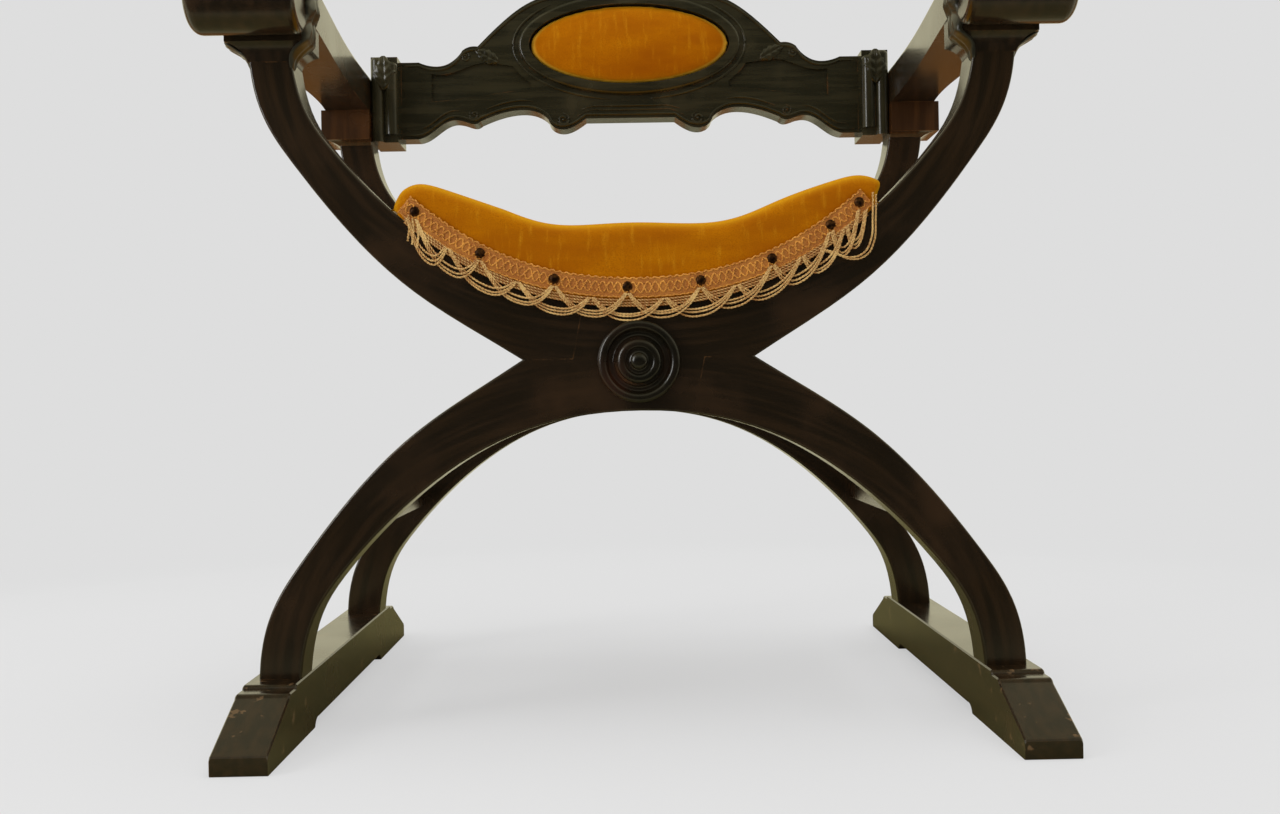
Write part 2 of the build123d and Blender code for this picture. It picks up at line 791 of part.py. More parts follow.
def seat_nails():
    """Front nails through the braid, and rear nails through the velvet alone."""
    front_face = seat_front - velvet - braid_thickness
    front = [nail(share * braid_half, front_face, -1, nail_head_height) for share in front_nail_shares]
    rear_face = seat_back + velvet
    count = len(front_nail_shares)
    places = [braid_half * 0.94 * (2 * i / (count - 1) - 1) for i in range(count)]
    rear = [nail(x, rear_face, 1, rear_head_height) for x in places]
    return front, rear


def without(body, cutters):
    """A piece with a group of other pieces taken out of it."""
    for cutter in cutters:
        body -= cutter
    return body


def main():
    """Builds every piece and writes each node."""
    os.makedirs("parts", exist_ok=True)

    arm_peg_group = [peg for side in (-1, 1) for peg in arm_pegs(side)]
    foot_peg_group = [peg for side in (-1, 1) for peg in foot_pegs(side)]
    for place, y in frame_fronts.items():
        for name, member in cross_frame(y).items():
            save(f"{place}_leg_{name}", without(member, arm_peg_group + foot_peg_group))

    right_foot = without(foot(), foot_peg_group)
    save("right_foot", right_foot)
    save("left_foot", left_of(right_foot))
    save("foot_pegs", *foot_peg_group)

    for name, side in (("left", -1), ("right", 1)):
        bar = side_stretcher_solid(side, frame_gap / 2, 0)
        tenons = side_stretcher_solid(side, frame_gap / 2 + side_tenon, side_tenon_shoulder)
        save(f"{name}_side_stretcher", bar + tenons)
    save("centre_stretcher", centre_stretcher())
    save("front_rosette", rosette(-depth_half, -1))
    save("rear_rosette", rosette(depth_half, 1))

    for place, y in frame_fronts.items():
        at_front = place == "front"
        inner = capital_inner_flare if at_front else 0
        piece = capital(y, inner, capital_cove if at_front else rear_capital_cove)
        save(f"{place}_right_capital", piece)
        save(f"{place}_left_capital", left_of(piece))

    right_arm = without(arm(), arm_peg_group)
    save("right_arm", right_arm)
    save("left_arm", left_of(right_arm))
    save("arm_pegs", *arm_peg_group)

    post = back_post()
    save("right_back_post", post)
    save("left_back_post", left_of(post))
    save("back_rail", back_rail())
    save("back_pad_board", pad_board())
    save("back_pad", back_pad())
    save("pad_screws", *pad_screws())

    front_nails, rear_nails = seat_nails()
    save("seat_front_rail", without(seat_rail(seat_front), front_nails))
    save("seat_rear_rail", without(seat_rail(seat_back - seat_rail_depth), rear_nails))
    end_rail = seat_end_rail()
    save("seat_right_end_rail", end_rail)
    save("seat_left_end_rail", left_of(end_rail))
    save("seat_slats", *seat_slats())
    save("seat_stuffing", without(seat_stuffing(), front_nails))
    save("seat_cover", without(seat_cover(), front_nails + rear_nails))
    save("seat_braid", without(seat_braid(), front_nails))
    save("seat_fringe", seat_fringe())
    save("front_nails", *front_nails)
    save("rear_nails", *rear_nails)


main()
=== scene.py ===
# %% [markdown]
# # A cross-frame armchair with a fringed velvet seat
# The wooden pieces arrive ready shaped as CAD bodies. This lesson lights them, gives them their polish,
# and adds what CAD leaves plain: the stuffed velvet, the braid and its looped fringe, the nails and the
# small carving. Every new piece rides on one of two bodies: the frame, or the seat that lifts out.
# Sizes are metres, with +X to the right, +Y to the back and +Z up.

from math import cos, pi, radians, sin

import bpy
import numpy as np
from mathutils import Matrix, Vector
from mathutils.noise import noise


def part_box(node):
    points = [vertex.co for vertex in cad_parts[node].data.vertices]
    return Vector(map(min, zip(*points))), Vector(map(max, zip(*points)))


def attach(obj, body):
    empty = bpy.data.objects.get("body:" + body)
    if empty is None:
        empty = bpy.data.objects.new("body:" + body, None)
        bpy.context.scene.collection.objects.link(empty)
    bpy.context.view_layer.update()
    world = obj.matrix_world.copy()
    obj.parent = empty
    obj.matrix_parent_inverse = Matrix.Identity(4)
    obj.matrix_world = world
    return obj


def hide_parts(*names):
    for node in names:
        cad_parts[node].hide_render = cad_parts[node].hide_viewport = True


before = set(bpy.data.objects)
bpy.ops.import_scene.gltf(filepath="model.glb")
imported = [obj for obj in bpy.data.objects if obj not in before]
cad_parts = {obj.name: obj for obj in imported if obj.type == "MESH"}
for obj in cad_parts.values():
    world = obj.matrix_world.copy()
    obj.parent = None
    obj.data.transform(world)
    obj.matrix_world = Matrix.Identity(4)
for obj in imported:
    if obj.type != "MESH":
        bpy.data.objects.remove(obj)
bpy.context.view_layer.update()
MM = 0.001

# %% [markdown]
# ## Camera
# The camera stands at about the height of the crossing, nearly straight on. The lens is a moderate wide
# angle and the camera is close, which is why the legs and feet draw together towards the back.

# %% Camera
camera_lens = bpy.data.cameras.new("camera")
camera_lens.sensor_width = 36.0
camera_lens.lens = 36.04
camera = bpy.data.objects.new("camera", camera_lens)
camera.location = (-12.6 * MM, -1256.4 * MM, 271.0 * MM)
camera.rotation_euler = (radians(90), radians(1.036), radians(-0.69))
bpy.context.scene.collection.objects.link(camera)
bpy.context.scene.camera = camera
print("camera at", tuple(camera.location))

# %% [markdown]
# ## Colour and nodes
# Paint colours are written as the hex values that a screen shows. Shaders work in linear light, so one
# function turns them. A second small function adds a shader node of any kind, sets it and links it in one
# go. A third lays colours over a ground one after another, as a painter lays coats. Two groups of settings
# come back all the time: for a MapRange node that rises smoothly, and for a Mix node that mixes colours.


# %% Colour and nodes
SMOOTH = {"interpolation_type": "SMOOTHSTEP"}
COLOURS = {"data_type": "RGBA"}


def linear(code):
    """A screen colour such as "#c08020" as linear red, green, blue and alpha."""
    parts = [int(code[i : i + 2], 16) / 255 for i in (1, 3, 5)]
    return tuple(p / 12.92 if p <= 0.04045 else ((p + 0.055) / 1.055) ** 2.4 for p in parts) + (1.0,)


def add(tree, kind, inputs, **settings):
    """Adds a node and returns its outputs. Settings are its properties; inputs maps each socket to a
    value, or to the socket that feeds it."""
    made = tree.nodes.new("ShaderNode" + kind)
    for name, value in settings.items():
        setattr(made, name, value)
    for name, value in inputs.items():
        if isinstance(value, bpy.types.NodeSocket):
            tree.links.new(value, made.inputs[name])
        else:
            made.inputs[name].default_value = value
    return made.outputs


def coats(tree, ground, *layers):
    """A ground under coats of colour. The share of each rises smoothly with its value, from 0 at low to
    most at high."""
    for value, low, high, most, colour in layers:
        share = add(tree, "MapRange", {0: value, 1: low, 2: high, 4: most}, **SMOOTH)[0]
        ground = add(tree, "Mix", {0: share, 6: ground, 7: colour}, **COLOURS)[2]
    return ground


def new_material(name):
    """An empty material, its node tree, and the place of each point in its piece's own coordinates."""
    material = bpy.data.materials.new(name)
    material.use_nodes = True
    tree = material.node_tree
    tree.nodes.clear()
    return material, tree, add(tree, "TexCoord", {})["Object"]


def surfaced(material, tree, sockets):
    """The material, finished with a surface that has these sockets."""
    shader = add(tree, "BsdfPrincipled", sockets)[0]
    add(tree, "OutputMaterial", {"Surface": shader})
    return material


print("helpers ready")

# %% [markdown]
# ## Studio
# The stage is a pale floor that melts into an equally pale backdrop. The floor takes the chair's shadow
# near the feet, and further out it turns into the backdrop's own colour, so no horizon shows. A large
# softbox above, a smaller one at the left and an even sky give the soft light of a catalogue picture.
#
# Polished wood shows the room as well as its own colour. A room is dark where nobody has put a lamp, in
# front of the chair, and bright high up and behind it. So mirror rays get a room of their own: deep olive
# in front, warm cream at the back and half way up, and a greyer ceiling straight above.

# %% Studio
BACKDROP = linear("#dedede")
ROOM_DARK, ROOM_BRIGHT = linear("#2e2b1c"), linear("#ebe5c2")
ROOM_BOARDS, ROOM_SHADE, ROOM_CEILING = linear("#8a5a2a"), linear("#5a563c"), linear("#858060")
FLOOR_SHADOW = 0.3  # share of its own shading that the floor keeps for the camera


def build_floor():
    """A large floor: a matt surface near the chair, the backdrop's colour further away."""
    bpy.ops.object.select_all(action="DESELECT")
    bpy.ops.mesh.primitive_plane_add(size=40, location=(0, 0, 0))
    floor = bpy.context.object
    floor.name = "studio_floor"
    material, tree, place = new_material("pale_studio_paper")
    rays = add(tree, "LightPath", {})
    seen, mirrored = rays["Is Camera Ray"], rays["Is Glossy Ray"]
    # The floor of the room that mirror rays see: dark in front, bright behind, boards at both sides.
    aside, depth, _ = add(tree, "SeparateXYZ", {0: place})
    near_room = add(tree, "MapRange", {0: depth, 1: -0.3, 2: -0.6}, **SMOOTH)[0]
    back_room = add(tree, "MapRange", {0: depth, 1: 2.3, 2: 2.7}, **SMOOTH)[0]
    aside = add(tree, "Math", {0: aside}, operation="ABSOLUTE")[0]
    beside = add(tree, "MapRange", {0: aside, 1: 0.4, 2: 0.7}, **SMOOTH)[0]
    boards = add(tree, "MapRange", {0: depth, 1: 0.5, 2: 1.1}, **SMOOTH)[0]
    boards = add(tree, "Math", {0: beside, 1: boards}, operation="MULTIPLY")[0]
    room = ROOM_BRIGHT
    for share, colour in ((near_room, ROOM_DARK), (back_room, ROOM_SHADE), (boards, ROOM_BOARDS)):
        room = add(tree, "Mix", {0: share, 6: room, 7: colour}, **COLOURS)[2]
    shown = add(tree, "Mix", {0: mirrored, 6: BACKDROP, 7: room}, **COLOURS)[2]
    glow = add(tree, "Emission", {"Color": shown, "Strength": 1.0})[0]
    matt = linear("#dcdcdc")
    for share, colour in ((mirrored, linear("#8c8456")), (seen, linear("#f8f8f8"))):
        matt = add(tree, "Mix", {0: share, 6: matt, 7: colour}, **COLOURS)[2]
    paper = add(tree, "BsdfDiffuse", {"Color": matt})[0]
    # Share of glow: all of it far away and in the dark near room, and most of it for the camera.
    distance = add(tree, "VectorMath", {0: place}, operation="LENGTH")["Value"]
    glowing = add(tree, "MapRange", {0: distance, 1: 0.55, 2: 1.5}, **SMOOTH)[0]
    for rays_of, share in ((mirrored, near_room), (seen, 1 - FLOOR_SHADOW)):
        more = add(tree, "Math", {0: rays_of, 1: share}, operation="MULTIPLY")[0]
        glowing = add(tree, "Math", {0: glowing, 1: more}, operation="MAXIMUM")[0]
    mixed = add(tree, "MixShader", {0: glowing, 1: paper, 2: glow})[0]
    add(tree, "OutputMaterial", {"Surface": mixed})
    floor.data.materials.append(material)


def build_sky():
    """An even light from all round, the plain backdrop for the camera and the room for mirror rays."""
    world = bpy.data.worlds.new("studio")
    bpy.context.scene.world = world
    world.use_nodes = True
    tree = world.node_tree
    tree.nodes.clear()
    rays = add(tree, "LightPath", {})
    toward = add(tree, "TexCoord", {})["Generated"]
    _, behind, above = add(tree, "SeparateXYZ", {0: toward})
    upward = add(tree, "Math", {0: above, 1: 0.7}, operation="MULTIPLY")[0]
    height = add(tree, "Math", {0: behind, 1: 0.8, 2: upward}, operation="MULTIPLY_ADD")[0]
    ceiling = (above, 0.6, 0.95, 1.0, ROOM_CEILING)
    room = coats(tree, ROOM_DARK, (height, -0.6, 0.5, 1.0, ROOM_BRIGHT), ceiling)
    seen = add(tree, "Background", {"Color": (1, 1, 1, 1), "Strength": 0.5})[0]
    for kind, colour in (("Is Glossy Ray", room), ("Is Camera Ray", BACKDROP)):
        view = add(tree, "Background", {"Color": colour, "Strength": 1.0})[0]
        seen = add(tree, "MixShader", {0: rays[kind], 1: seen, 2: view})[0]
    add(tree, "OutputWorld", {"Surface": seen})


def softbox(name, location, target, size, watts):
    """A rectangular lamp that points at target."""
    lamp = bpy.data.lights.new(name, "AREA")
    lamp.shape = "RECTANGLE"
    lamp.size, lamp.size_y = size
    lamp.energy = watts
    holder = bpy.data.objects.new(name, lamp)
    holder.location = location
    aim = Vector(target) - Vector(location)
    holder.rotation_euler = aim.to_track_quat("-Z", "Y").to_euler()
    bpy.context.scene.collection.objects.link(holder)
    return holder


build_floor()
build_sky()
overhead = softbox("overhead", (0.2, -0.2, 2.6), (0, 0, 0), (2.6, 2.0), 32)
overhead.visible_glossy = False
softbox("left_window", (-2.0, -1.3, 1.1), (0, 0, 0.35), (0.7, 1.5), 16)
bpy.context.scene.view_settings.view_transform = "Standard"
print("studio ready")

# %% [markdown]
# ## Ebonised wood
# The chair is stained almost black over a brown hardwood and polished, so the eye sees three things: a
# dark brown with a red cast where the stain is thin, fine pores along the grain, and a clear gloss that
# picks up the studio. On the curved limbs the grain follows the sweep of the limb, so their pattern is
# laid out round the sweep; straight pieces have it along their length.


# %% Ebonised wood
# Deep, middle and thin stain. The rail was stained blacker than the legs, and the rosettes were polished
# till they went quite dark. The blocks under the rear of the arms get a lighter brown: painted light,
# standing for the warm light bounced up under the arms.
STAINS = {
    "brown_black": ("#1f160b", "#2f2010", "#3a2612"),
    "olive_black": ("#242214", "#35311f", "#464029"),
    "sooty_black": ("#110f08", "#1c170d", "#351d10"),
    "thin_brown": ("#3a2412", "#4e3017", "#5e3c1d"),
}

# Grain is 14 times as long as it is wide. A limb sweeps round part of an ellipse: its middle, measured up
# or down from the level seam of the crossing, then half its height and half its width.
GRAIN_LENGTH = 14
SEAM_HEIGHT, SWEEP_MIDDLE, SWEEP_HIGH, SWEEP_WIDE = 0.312, 0.262, 0.218, 0.285
SWEEP_SIZE = 0.25  # about half an ellipse's width in metres, which turns shares of it back to metres


def grain_along(tree, place, direction):
    """Coordinates for a grain that is long in one direction, in metres across the grain."""
    if direction != "limb":
        stretch = [1 / GRAIN_LENGTH if axis == direction else 1 for axis in "xyz"]
        return add(tree, "Mapping", {0: place, 3: stretch})[0]
    x, y, z = add(tree, "SeparateXYZ", {0: place})
    from_seam = add(tree, "Math", {0: z, 1: SEAM_HEIGHT}, operation="SUBTRACT")[0]
    from_seam = add(tree, "Math", {0: from_seam}, operation="ABSOLUTE")[0]
    rise = add(tree, "Math", {0: SWEEP_MIDDLE, 1: from_seam}, operation="SUBTRACT")[0]
    rise = add(tree, "Math", {0: rise, 1: SWEEP_HIGH}, operation="DIVIDE")[0]
    run = add(tree, "Math", {0: x}, operation="ABSOLUTE")[0]
    run = add(tree, "Math", {0: run, 1: SWEEP_WIDE}, operation="DIVIDE")[0]
    flat = add(tree, "CombineXYZ", {0: run, 1: rise})[0]
    across = add(tree, "VectorMath", {0: flat}, operation="LENGTH")["Value"]
    across = add(tree, "Math", {0: across, 1: SWEEP_SIZE}, operation="MULTIPLY")[0]
    turn = add(tree, "Math", {0: rise, 1: run}, operation="ARCTAN2")[0]
    turn = add(tree, "Math", {0: turn, 1: SWEEP_SIZE / GRAIN_LENGTH}, operation="MULTIPLY")[0]
    return add(tree, "CombineXYZ", {0: across, 1: y, 2: turn})[0]


def rubbed_edges(tree, place):
    """Share of bare brown wood: along edges, where a hand or a broom has rubbed, in uneven patches."""
    facing = add(tree, "NewGeometry", {})["Normal"]
    rounded = add(tree, "Bevel", {"Radius": 1.6 * MM}, samples=6)[0]
    level = add(tree, "VectorMath", {0: facing, 1: rounded}, operation="DOT_PRODUCT")["Value"]
    edge = add(tree, "MapRange", {0: level, 1: 0.97, 2: 0.82}, **SMOOTH)[0]
    patches = add(tree, "TexNoise", {0: place, "Scale": 32.0, "Detail": 4.0})[0]
    fine = add(tree, "TexNoise", {0: place, "Scale": 400.0, "Detail": 2.0})[0]
    patches = add(tree, "Math", {0: fine, 1: 0.2, 2: patches}, operation="MULTIPLY_ADD")[0]
    patches = add(tree, "MapRange", {0: patches, 1: 0.58, 2: 0.76}, **SMOOTH)[0]
    return add(tree, "Math", {0: edge, 1: patches}, operation="MULTIPLY")[0]


def ebonised(direction, tone="brown_black", knocked=False, mirror=0.15):
    """Polished ebonised hardwood with its grain in one direction, knocked where shoes and brooms reach.
    Mirror is the roughness of its smoothest places."""
    condition = "knocked_" if knocked else ""
    material, tree, place = new_material(f"{condition}ebonised_hardwood_{tone}_grain_{direction}")
    deep, middle, thin = (linear(code) for code in STAINS[tone])
    grain = grain_along(tree, place, direction)
    cloud = add(tree, "TexNoise", {0: place, "Scale": 14.0, "Detail": 3.0})[0]
    streak = add(tree, "TexNoise", {0: grain, "Scale": 150.0, "Detail": 4.0})[0]
    pores = add(tree, "TexNoise", {0: grain, "Scale": 900.0, "Detail": 2.0})[0]
    stain = coats(tree, deep, (streak, 0.35, 0.7, 1.0, middle), (cloud, 0.5, 0.8, 1.0, thin))
    bare = {0: rubbed_edges(tree, place), 6: stain, 7: linear("#6c4824")}
    stain = add(tree, "Mix", bare, **COLOURS)[2]
    if knocked:  # bare wood at knocks a few millimetres across and some centimetres apart
        spots = add(tree, "TexNoise", {0: place, "Scale": 75.0, "Detail": 3.0})[0]
        stain = coats(tree, stain, (spots, 0.64, 0.70, 0.7, linear("#75583a")))
    polish = add(tree, "Math", {0: cloud, 1: 0.2, 2: mirror}, operation="MULTIPLY_ADD")[0]
    fine = add(tree, "Math", {0: streak, 1: 0.6, 2: pores}, operation="MULTIPLY_ADD")[0]
    bump = add(tree, "Bump", {"Strength": 0.25, "Distance": 0.0003, "Height": fine})[0]
    sockets = {"Base Color": stain, "Roughness": polish, "Normal": bump, "IOR": 1.5}
    sockets.update({"Coat Weight": 0.35, "Coat Roughness": 0.12})
    return surfaced(material, tree, sockets)


def plain_timber(name, direction, dark, light):
    """Sawn wood without a finish: growth rings as wavy bands, and fine open pores."""
    material, tree, place = new_material(name)
    grain = grain_along(tree, place, direction)
    rings = add(tree, "TexNoise", {0: grain, "Scale": 110.0, "Detail": 3.0, "Distortion": 0.6})[0]
    pores = add(tree, "TexNoise", {0: grain, "Scale": 800.0, "Detail": 2.0})[0]
    tone = coats(tree, linear(dark), (rings, 0.35, 0.68, 1.0, linear(light)))
    bump = add(tree, "Bump", {"Strength": 0.4, "Distance": 0.0004, "Height": pores})[0]
    return surfaced(material, tree, {"Base Color": tone, "Roughness": 0.7, "Normal": bump, "IOR": 1.5})


def worn_metal(name, dark, light, spots_a_metre, roughness, metallic):
    """Metal mottled in a dark and a light tone."""
    material, tree, place = new_material(name)
    spots = add(tree, "TexNoise", {0: place, "Scale": spots_a_metre, "Detail": 3.0})[0]
    tone = coats(tree, linear(dark), (spots, 0.4, 0.7, 1.0, linear(light)))
    return surfaced(material, tree, {"Base Color": tone, "Roughness": roughness, "Metallic": metallic})


def finish_node(node, material):
    """Gives a CAD node one material."""
    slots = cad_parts[node].data.materials
    slots.clear()
    slots.append(material)


wood = {direction: ebonised(direction) for direction in ("y", "z", "limb")}
black = {direction: ebonised(direction, "olive_black") for direction in ("x", "z")}
beech = {
    direction: plain_timber("sawn_beech_grain_" + direction, direction, "#6c4c2a", "#8c683c")
    for direction in "xy"
}
pine = plain_timber("sawn_pine_grain_y", "y", "#b08a50", "#d6b478")
finishes = {
    "leg_rising_left": wood["limb"],
    "leg_rising_right": wood["limb"],
    "foot": ebonised("y", knocked=True),
    "arm": wood["y"],
    "stretcher": wood["y"],
    "pegs": wood["y"],
    "capital": wood["z"],
    "rosette": ebonised("x", "sooty_black"),
    "post": black["z"],
    "back_rail": black["x"],
    "seat_front_rail": beech["x"],
    "seat_rear_rail": beech["x"],
    "end_rail": beech["y"],
    "slats": pine,
    "pad_board": beech["x"],
    "pad_screws": worn_metal("dulled_steel", "#6c6a64", "#9a9890", 700.0, 0.45, 1.0),
}
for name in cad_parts:
    for ending, material in finishes.items():
        if name.endswith(ending):
            finish_node(name, material)
for side in ("left", "right"):
    # Painted light: the rear capitals get a lighter brown that stands for the warm light bounced up under
    # the arms.
    finish_node(f"rear_{side}_capital", ebonised("z", "thin_brown"))
unfinished = [name for name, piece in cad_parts.items() if not piece.data.materials[0].name.count("_")]
print("wood finished, left for later:", unfinished)

# %% [markdown]
# ## The cradle line
# The seat lies in the hollow of the crossed frames, so its cover, braid, fringe and nails all follow one
# curve. That curve is already in the CAD mesh. Seen from the front, the lowest points of the seat trace
# it, and a walk from left to right that only ever bends upwards picks them out.


# %% Cradle line
def lower_line(node):
    """The lowest outline of a CAD node, seen from the front, as one array of x and one of z."""
    corners = sorted({(round(v.co.x, 6), round(v.co.z, 6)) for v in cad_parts[node].data.vertices})
    line = []
    for x, z in corners:
        while len(line) > 1:
            (x0, z0), (x1, z1) = line[-2:]
            if (x1 - x0) * (z - z0) - (z1 - z0) * (x - x0) > 0:
                break
            line.pop()
        line.append((x, z))
    return np.array(line).T


SEAT_CLEARANCE = 0.4 * MM
cradle_x, cradle_z = lower_line("seat_cover")


def cradle(x):
    """Height of the hollow of the frames at x."""
    return float(np.interp(x, cradle_x, cradle_z)) - SEAT_CLEARANCE


print("cradle at the middle and near the ends", cradle(0), cradle(0.19))

# %% [markdown]
# ## Stuffed velvet seat
# An upholsterer lays velvet over the stuffing, pulls it down on all sides, and tacks it. The
# same can be done here: a flat grid is shaped over the seat row by row, and a short cloth simulation
# with air pressure inside plumps it, while the tacked rows stay still. Voxel remeshing a solid would
# lose the thin skirts at the front and back, so a sheet that is thickened at the end suits this better.


# %% Cover shape
COLUMNS, SKIRT_ROWS, EDGE_ROWS, TOP_ROWS = 80, 10, 5, 58
ROWS = 2 * (SKIRT_ROWS + EDGE_ROWS) + TOP_ROWS
TACKED_RISE = 1.2 * MM  # how far above the frames the ends of the velvet and the lining are tacked
EDGE_RADIUS, CORNER_RADIUS = 13 * MM, 12 * MM
PLUMP_FRAMES = 20
cover_low, cover_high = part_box("seat_cover")


def ready():
    """Leaves edit mode and deselects everything, so that the next operator acts on its own piece only."""
    if bpy.context.object and bpy.context.object.mode != "OBJECT":
        bpy.ops.object.mode_set(mode="OBJECT")
    bpy.ops.object.select_all(action="DESELECT")


def choose(piece):
    """Makes one piece the only selected and the active one."""
    ready()
    bpy.context.view_layer.objects.active = piece
    piece.select_set(True)


def edit_whole():
    """Enters edit mode with all of the active piece selected."""
    bpy.ops.object.mode_set(mode="EDIT")
    bpy.ops.mesh.select_all(action="SELECT")


def apply_all(piece):
    """Applies every modifier of a piece, in order."""
    choose(piece)
    for modifier in list(piece.modifiers):
        bpy.ops.object.modifier_apply(modifier=modifier.name)


def walled(piece, thickness, offset):
    """Gives a sheet a wall; offset 0 grows it to both sides, and -1 inwards."""
    wall = piece.modifiers.new("Wall", "SOLIDIFY")
    wall.thickness, wall.offset = thickness, offset
    apply_all(piece)


def seat_tops(count):
    """Points along the top of the seat, evenly spaced, with one more at each end, tacked below."""
    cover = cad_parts["seat_cover"]
    reach = cover_high.x - 0.2 * MM
    line = []
    for x in np.linspace(-reach, reach, 600):
        _, place, _, _ = cover.ray_cast(Vector((x, 0, 1)), Vector((0, 0, -1)))
        line.append((x, place.z))
    line = np.array(line)
    along = np.concatenate(([0], np.cumsum(np.hypot(*np.diff(line, axis=0).T))))
    even = np.linspace(0, along[-1], count - 2)
    xs, tops = np.interp(even, along, line[:, 0]), np.interp(even, along, line[:, 1])
    left, right = cradle(-reach) + TACKED_RISE, cradle(reach) + TACKED_RISE
    return np.concatenate(([-reach], xs, [reach])), np.concatenate(([left], tops, [right]))


def cover_point(x, top, row):
    """Where a row of the cover lies at x: up the front, over the edge, back, and down again."""
    front = row <= ROWS / 2
    step = row if front else ROWS - row
    beyond = max(0.0, abs(x) - (cover_high.x - CORNER_RADIUS))
    inset = CORNER_RADIUS - (CORNER_RADIUS**2 - min(beyond, CORNER_RADIUS) ** 2) ** 0.5
    low = cradle(x) + SEAT_CLEARANCE
    radius = max(0.0, min(EDGE_RADIUS, 0.45 * (top - low)))
    wall, start, end = top - radius, cover_low.y + inset, cover_high.y - inset
    if step <= SKIRT_ROWS:
        depth, z = 0.0, low + (wall - low) * step / SKIRT_ROWS
    elif step <= SKIRT_ROWS + EDGE_ROWS:
        angle = pi / 2 * (step - SKIRT_ROWS) / EDGE_ROWS
        depth, z = radius * (1 - cos(angle)), wall + radius * sin(angle)
    else:
        share = (row - SKIRT_ROWS - EDGE_ROWS) / TOP_ROWS
        return Vector((x, start + radius + (end - start - 2 * radius) * share, top))
    return Vector((x, start + depth if front else end - depth, z))


def seat_sheet():
    """A sheet of velvet shaped over the seat, open below."""
    xs, tops = seat_tops(COLUMNS + 1)
    ready()
    bpy.ops.mesh.primitive_grid_add(x_subdivisions=COLUMNS, y_subdivisions=ROWS, size=2)
    sheet = bpy.context.object
    tacked = sheet.vertex_groups.new(name="tacked")
    for vertex in sheet.data.vertices:
        column = round((vertex.co.x + 1) / 2 * COLUMNS)
        row = round((vertex.co.y + 1) / 2 * ROWS)
        x, top = float(xs[column]), float(tops[column])
        vertex.co = cover_point(x, top, row)
        below = vertex.co.z < cradle(x) + min(26 * MM, 0.55 * (top - cradle(x)))
        if below or column in (0, COLUMNS):
            tacked.add([vertex.index], 1.0, "REPLACE")
    return sheet


def plump(piece, pressure, reach, group):
    """Swells a piece with air pressure inside and lets no point move further than reach. The points of
    the group stay still."""
    before = np.array([v.co for v in piece.data.vertices])
    cloth = piece.modifiers.new("Cloth", "CLOTH")
    cloth.settings.quality = 6
    cloth.settings.mass = 0.3
    cloth.settings.use_pressure = True
    cloth.settings.uniform_pressure_force = pressure
    cloth.settings.effector_weights.gravity = 0
    cloth.settings.vertex_group_mass = group
    cloth.point_cache.frame_start = 1
    cloth.point_cache.frame_end = PLUMP_FRAMES
    for number in range(1, PLUMP_FRAMES + 1):
        bpy.context.scene.frame_set(number)
    apply_all(piece)
    bpy.context.scene.frame_set(1)
    after = np.array([v.co for v in piece.data.vertices])
    move = after - before
    size = np.linalg.norm(move, axis=1)
    share = np.minimum(1, reach / np.maximum(size, 1e-9))
    for vertex, place in zip(piece.data.vertices, before + move * share[:, None]):
        vertex.co = place
    print(piece.name, "moved at most", round(1000 * float(size.max()), 1), "mm, kept to", 1000 * reach)


velvet_seat = seat_sheet()
velvet_seat.name = "velvet_seat"
plump(velvet_seat, 2.5, 4 * MM, "tacked")
calm = velvet_seat.modifiers.new("Calm", "SMOOTH")
calm.factor, calm.iterations = 0.5, 8
calm.vertex_group, calm.invert_vertex_group = "tacked", True
apply_all(velvet_seat)


# %% [markdown]
# ## Thickness and the small unevenness of hand work
# Stuffing is never quite even, so the plumped sheet gets swellings less than half a millimetre high and
# about five centimetres across. Years of use have pushed the rolls at both ends outwards, the right one
# further than the left. Then the sheet becomes a fabric of real thickness, growing inwards.


# %% Cover thickness
VELVET_THICKNESS = 1.8 * MM
CROWN_RISE, RIGHT_RISE, RIGHT_PUSH, LEFT_PUSH = 2.4 * MM, 1.5 * MM, 12 * MM, 7 * MM
ROLL_START, ROLL_FULL, LEFT_SPAN = 0.11, 0.17, 0.09  # where the end rolls begin, out from the middle


def uneven(piece, height, spacing):
    """Adds soft swellings, no higher than height and about spacing across, along each point's normal."""
    normals = [v.normal.copy() for v in piece.data.vertices]
    for vertex, normal in zip(piece.data.vertices, normals):
        vertex.co += normal * (height * noise(vertex.co / spacing))


def smooth_shading(piece):
    """Shades a piece as one smooth surface."""
    choose(piece)
    bpy.ops.object.shade_smooth()


def clamped(share):
    """The share, kept from 0 to 1."""
    return min(1.0, max(0.0, share))


def share_of(value, low, high):
    """A share that rises smoothly from 0 at low to 1 at high."""
    share = clamped((value - low) / (high - low))
    return share * share * (3 - 2 * share)


def used_shape(piece):
    """Lifts the crown and pushes the end rolls outwards, the left one squarer, the right one further."""
    for vertex in piece.data.vertices:
        x, z = vertex.co.x, vertex.co.z
        free = share_of(z - cradle(x), 6 * MM, 24 * MM)
        right = share_of(x, ROLL_START, ROLL_FULL)
        left = sin(pi * clamped((-x - ROLL_START) / LEFT_SPAN))
        vertex.co.x += free * (RIGHT_PUSH * right - LEFT_PUSH * left)
        vertex.co.z += free * (CROWN_RISE + RIGHT_RISE * right)


uneven(velvet_seat, 0.45 * MM, 50 * MM)
used_shape(velvet_seat)
finer = velvet_seat.modifiers.new("Finer", "SUBSURF")
finer.levels = finer.render_levels = 1
walled(velvet_seat, VELVET_THICKNESS, -1)
smooth_shading(velvet_seat)
print("velvet seat has", len(velvet_seat.data.polygons), "faces")

# %% [markdown]
# ## Lining under the stuffing
# Below the velvet, a coarse hessian lies over the slats and turns down at the two ends, where the seat
# rests in the cradle. It keeps the stuffing from sifting out, and it shows only between the slats.

# %% Lining
LINING_THICKNESS, SLAT_TOP, LINING_GAP = 0.8 * MM, 26.15 * MM, 0.9 * MM
slats_low, slats_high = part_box("seat_slats")


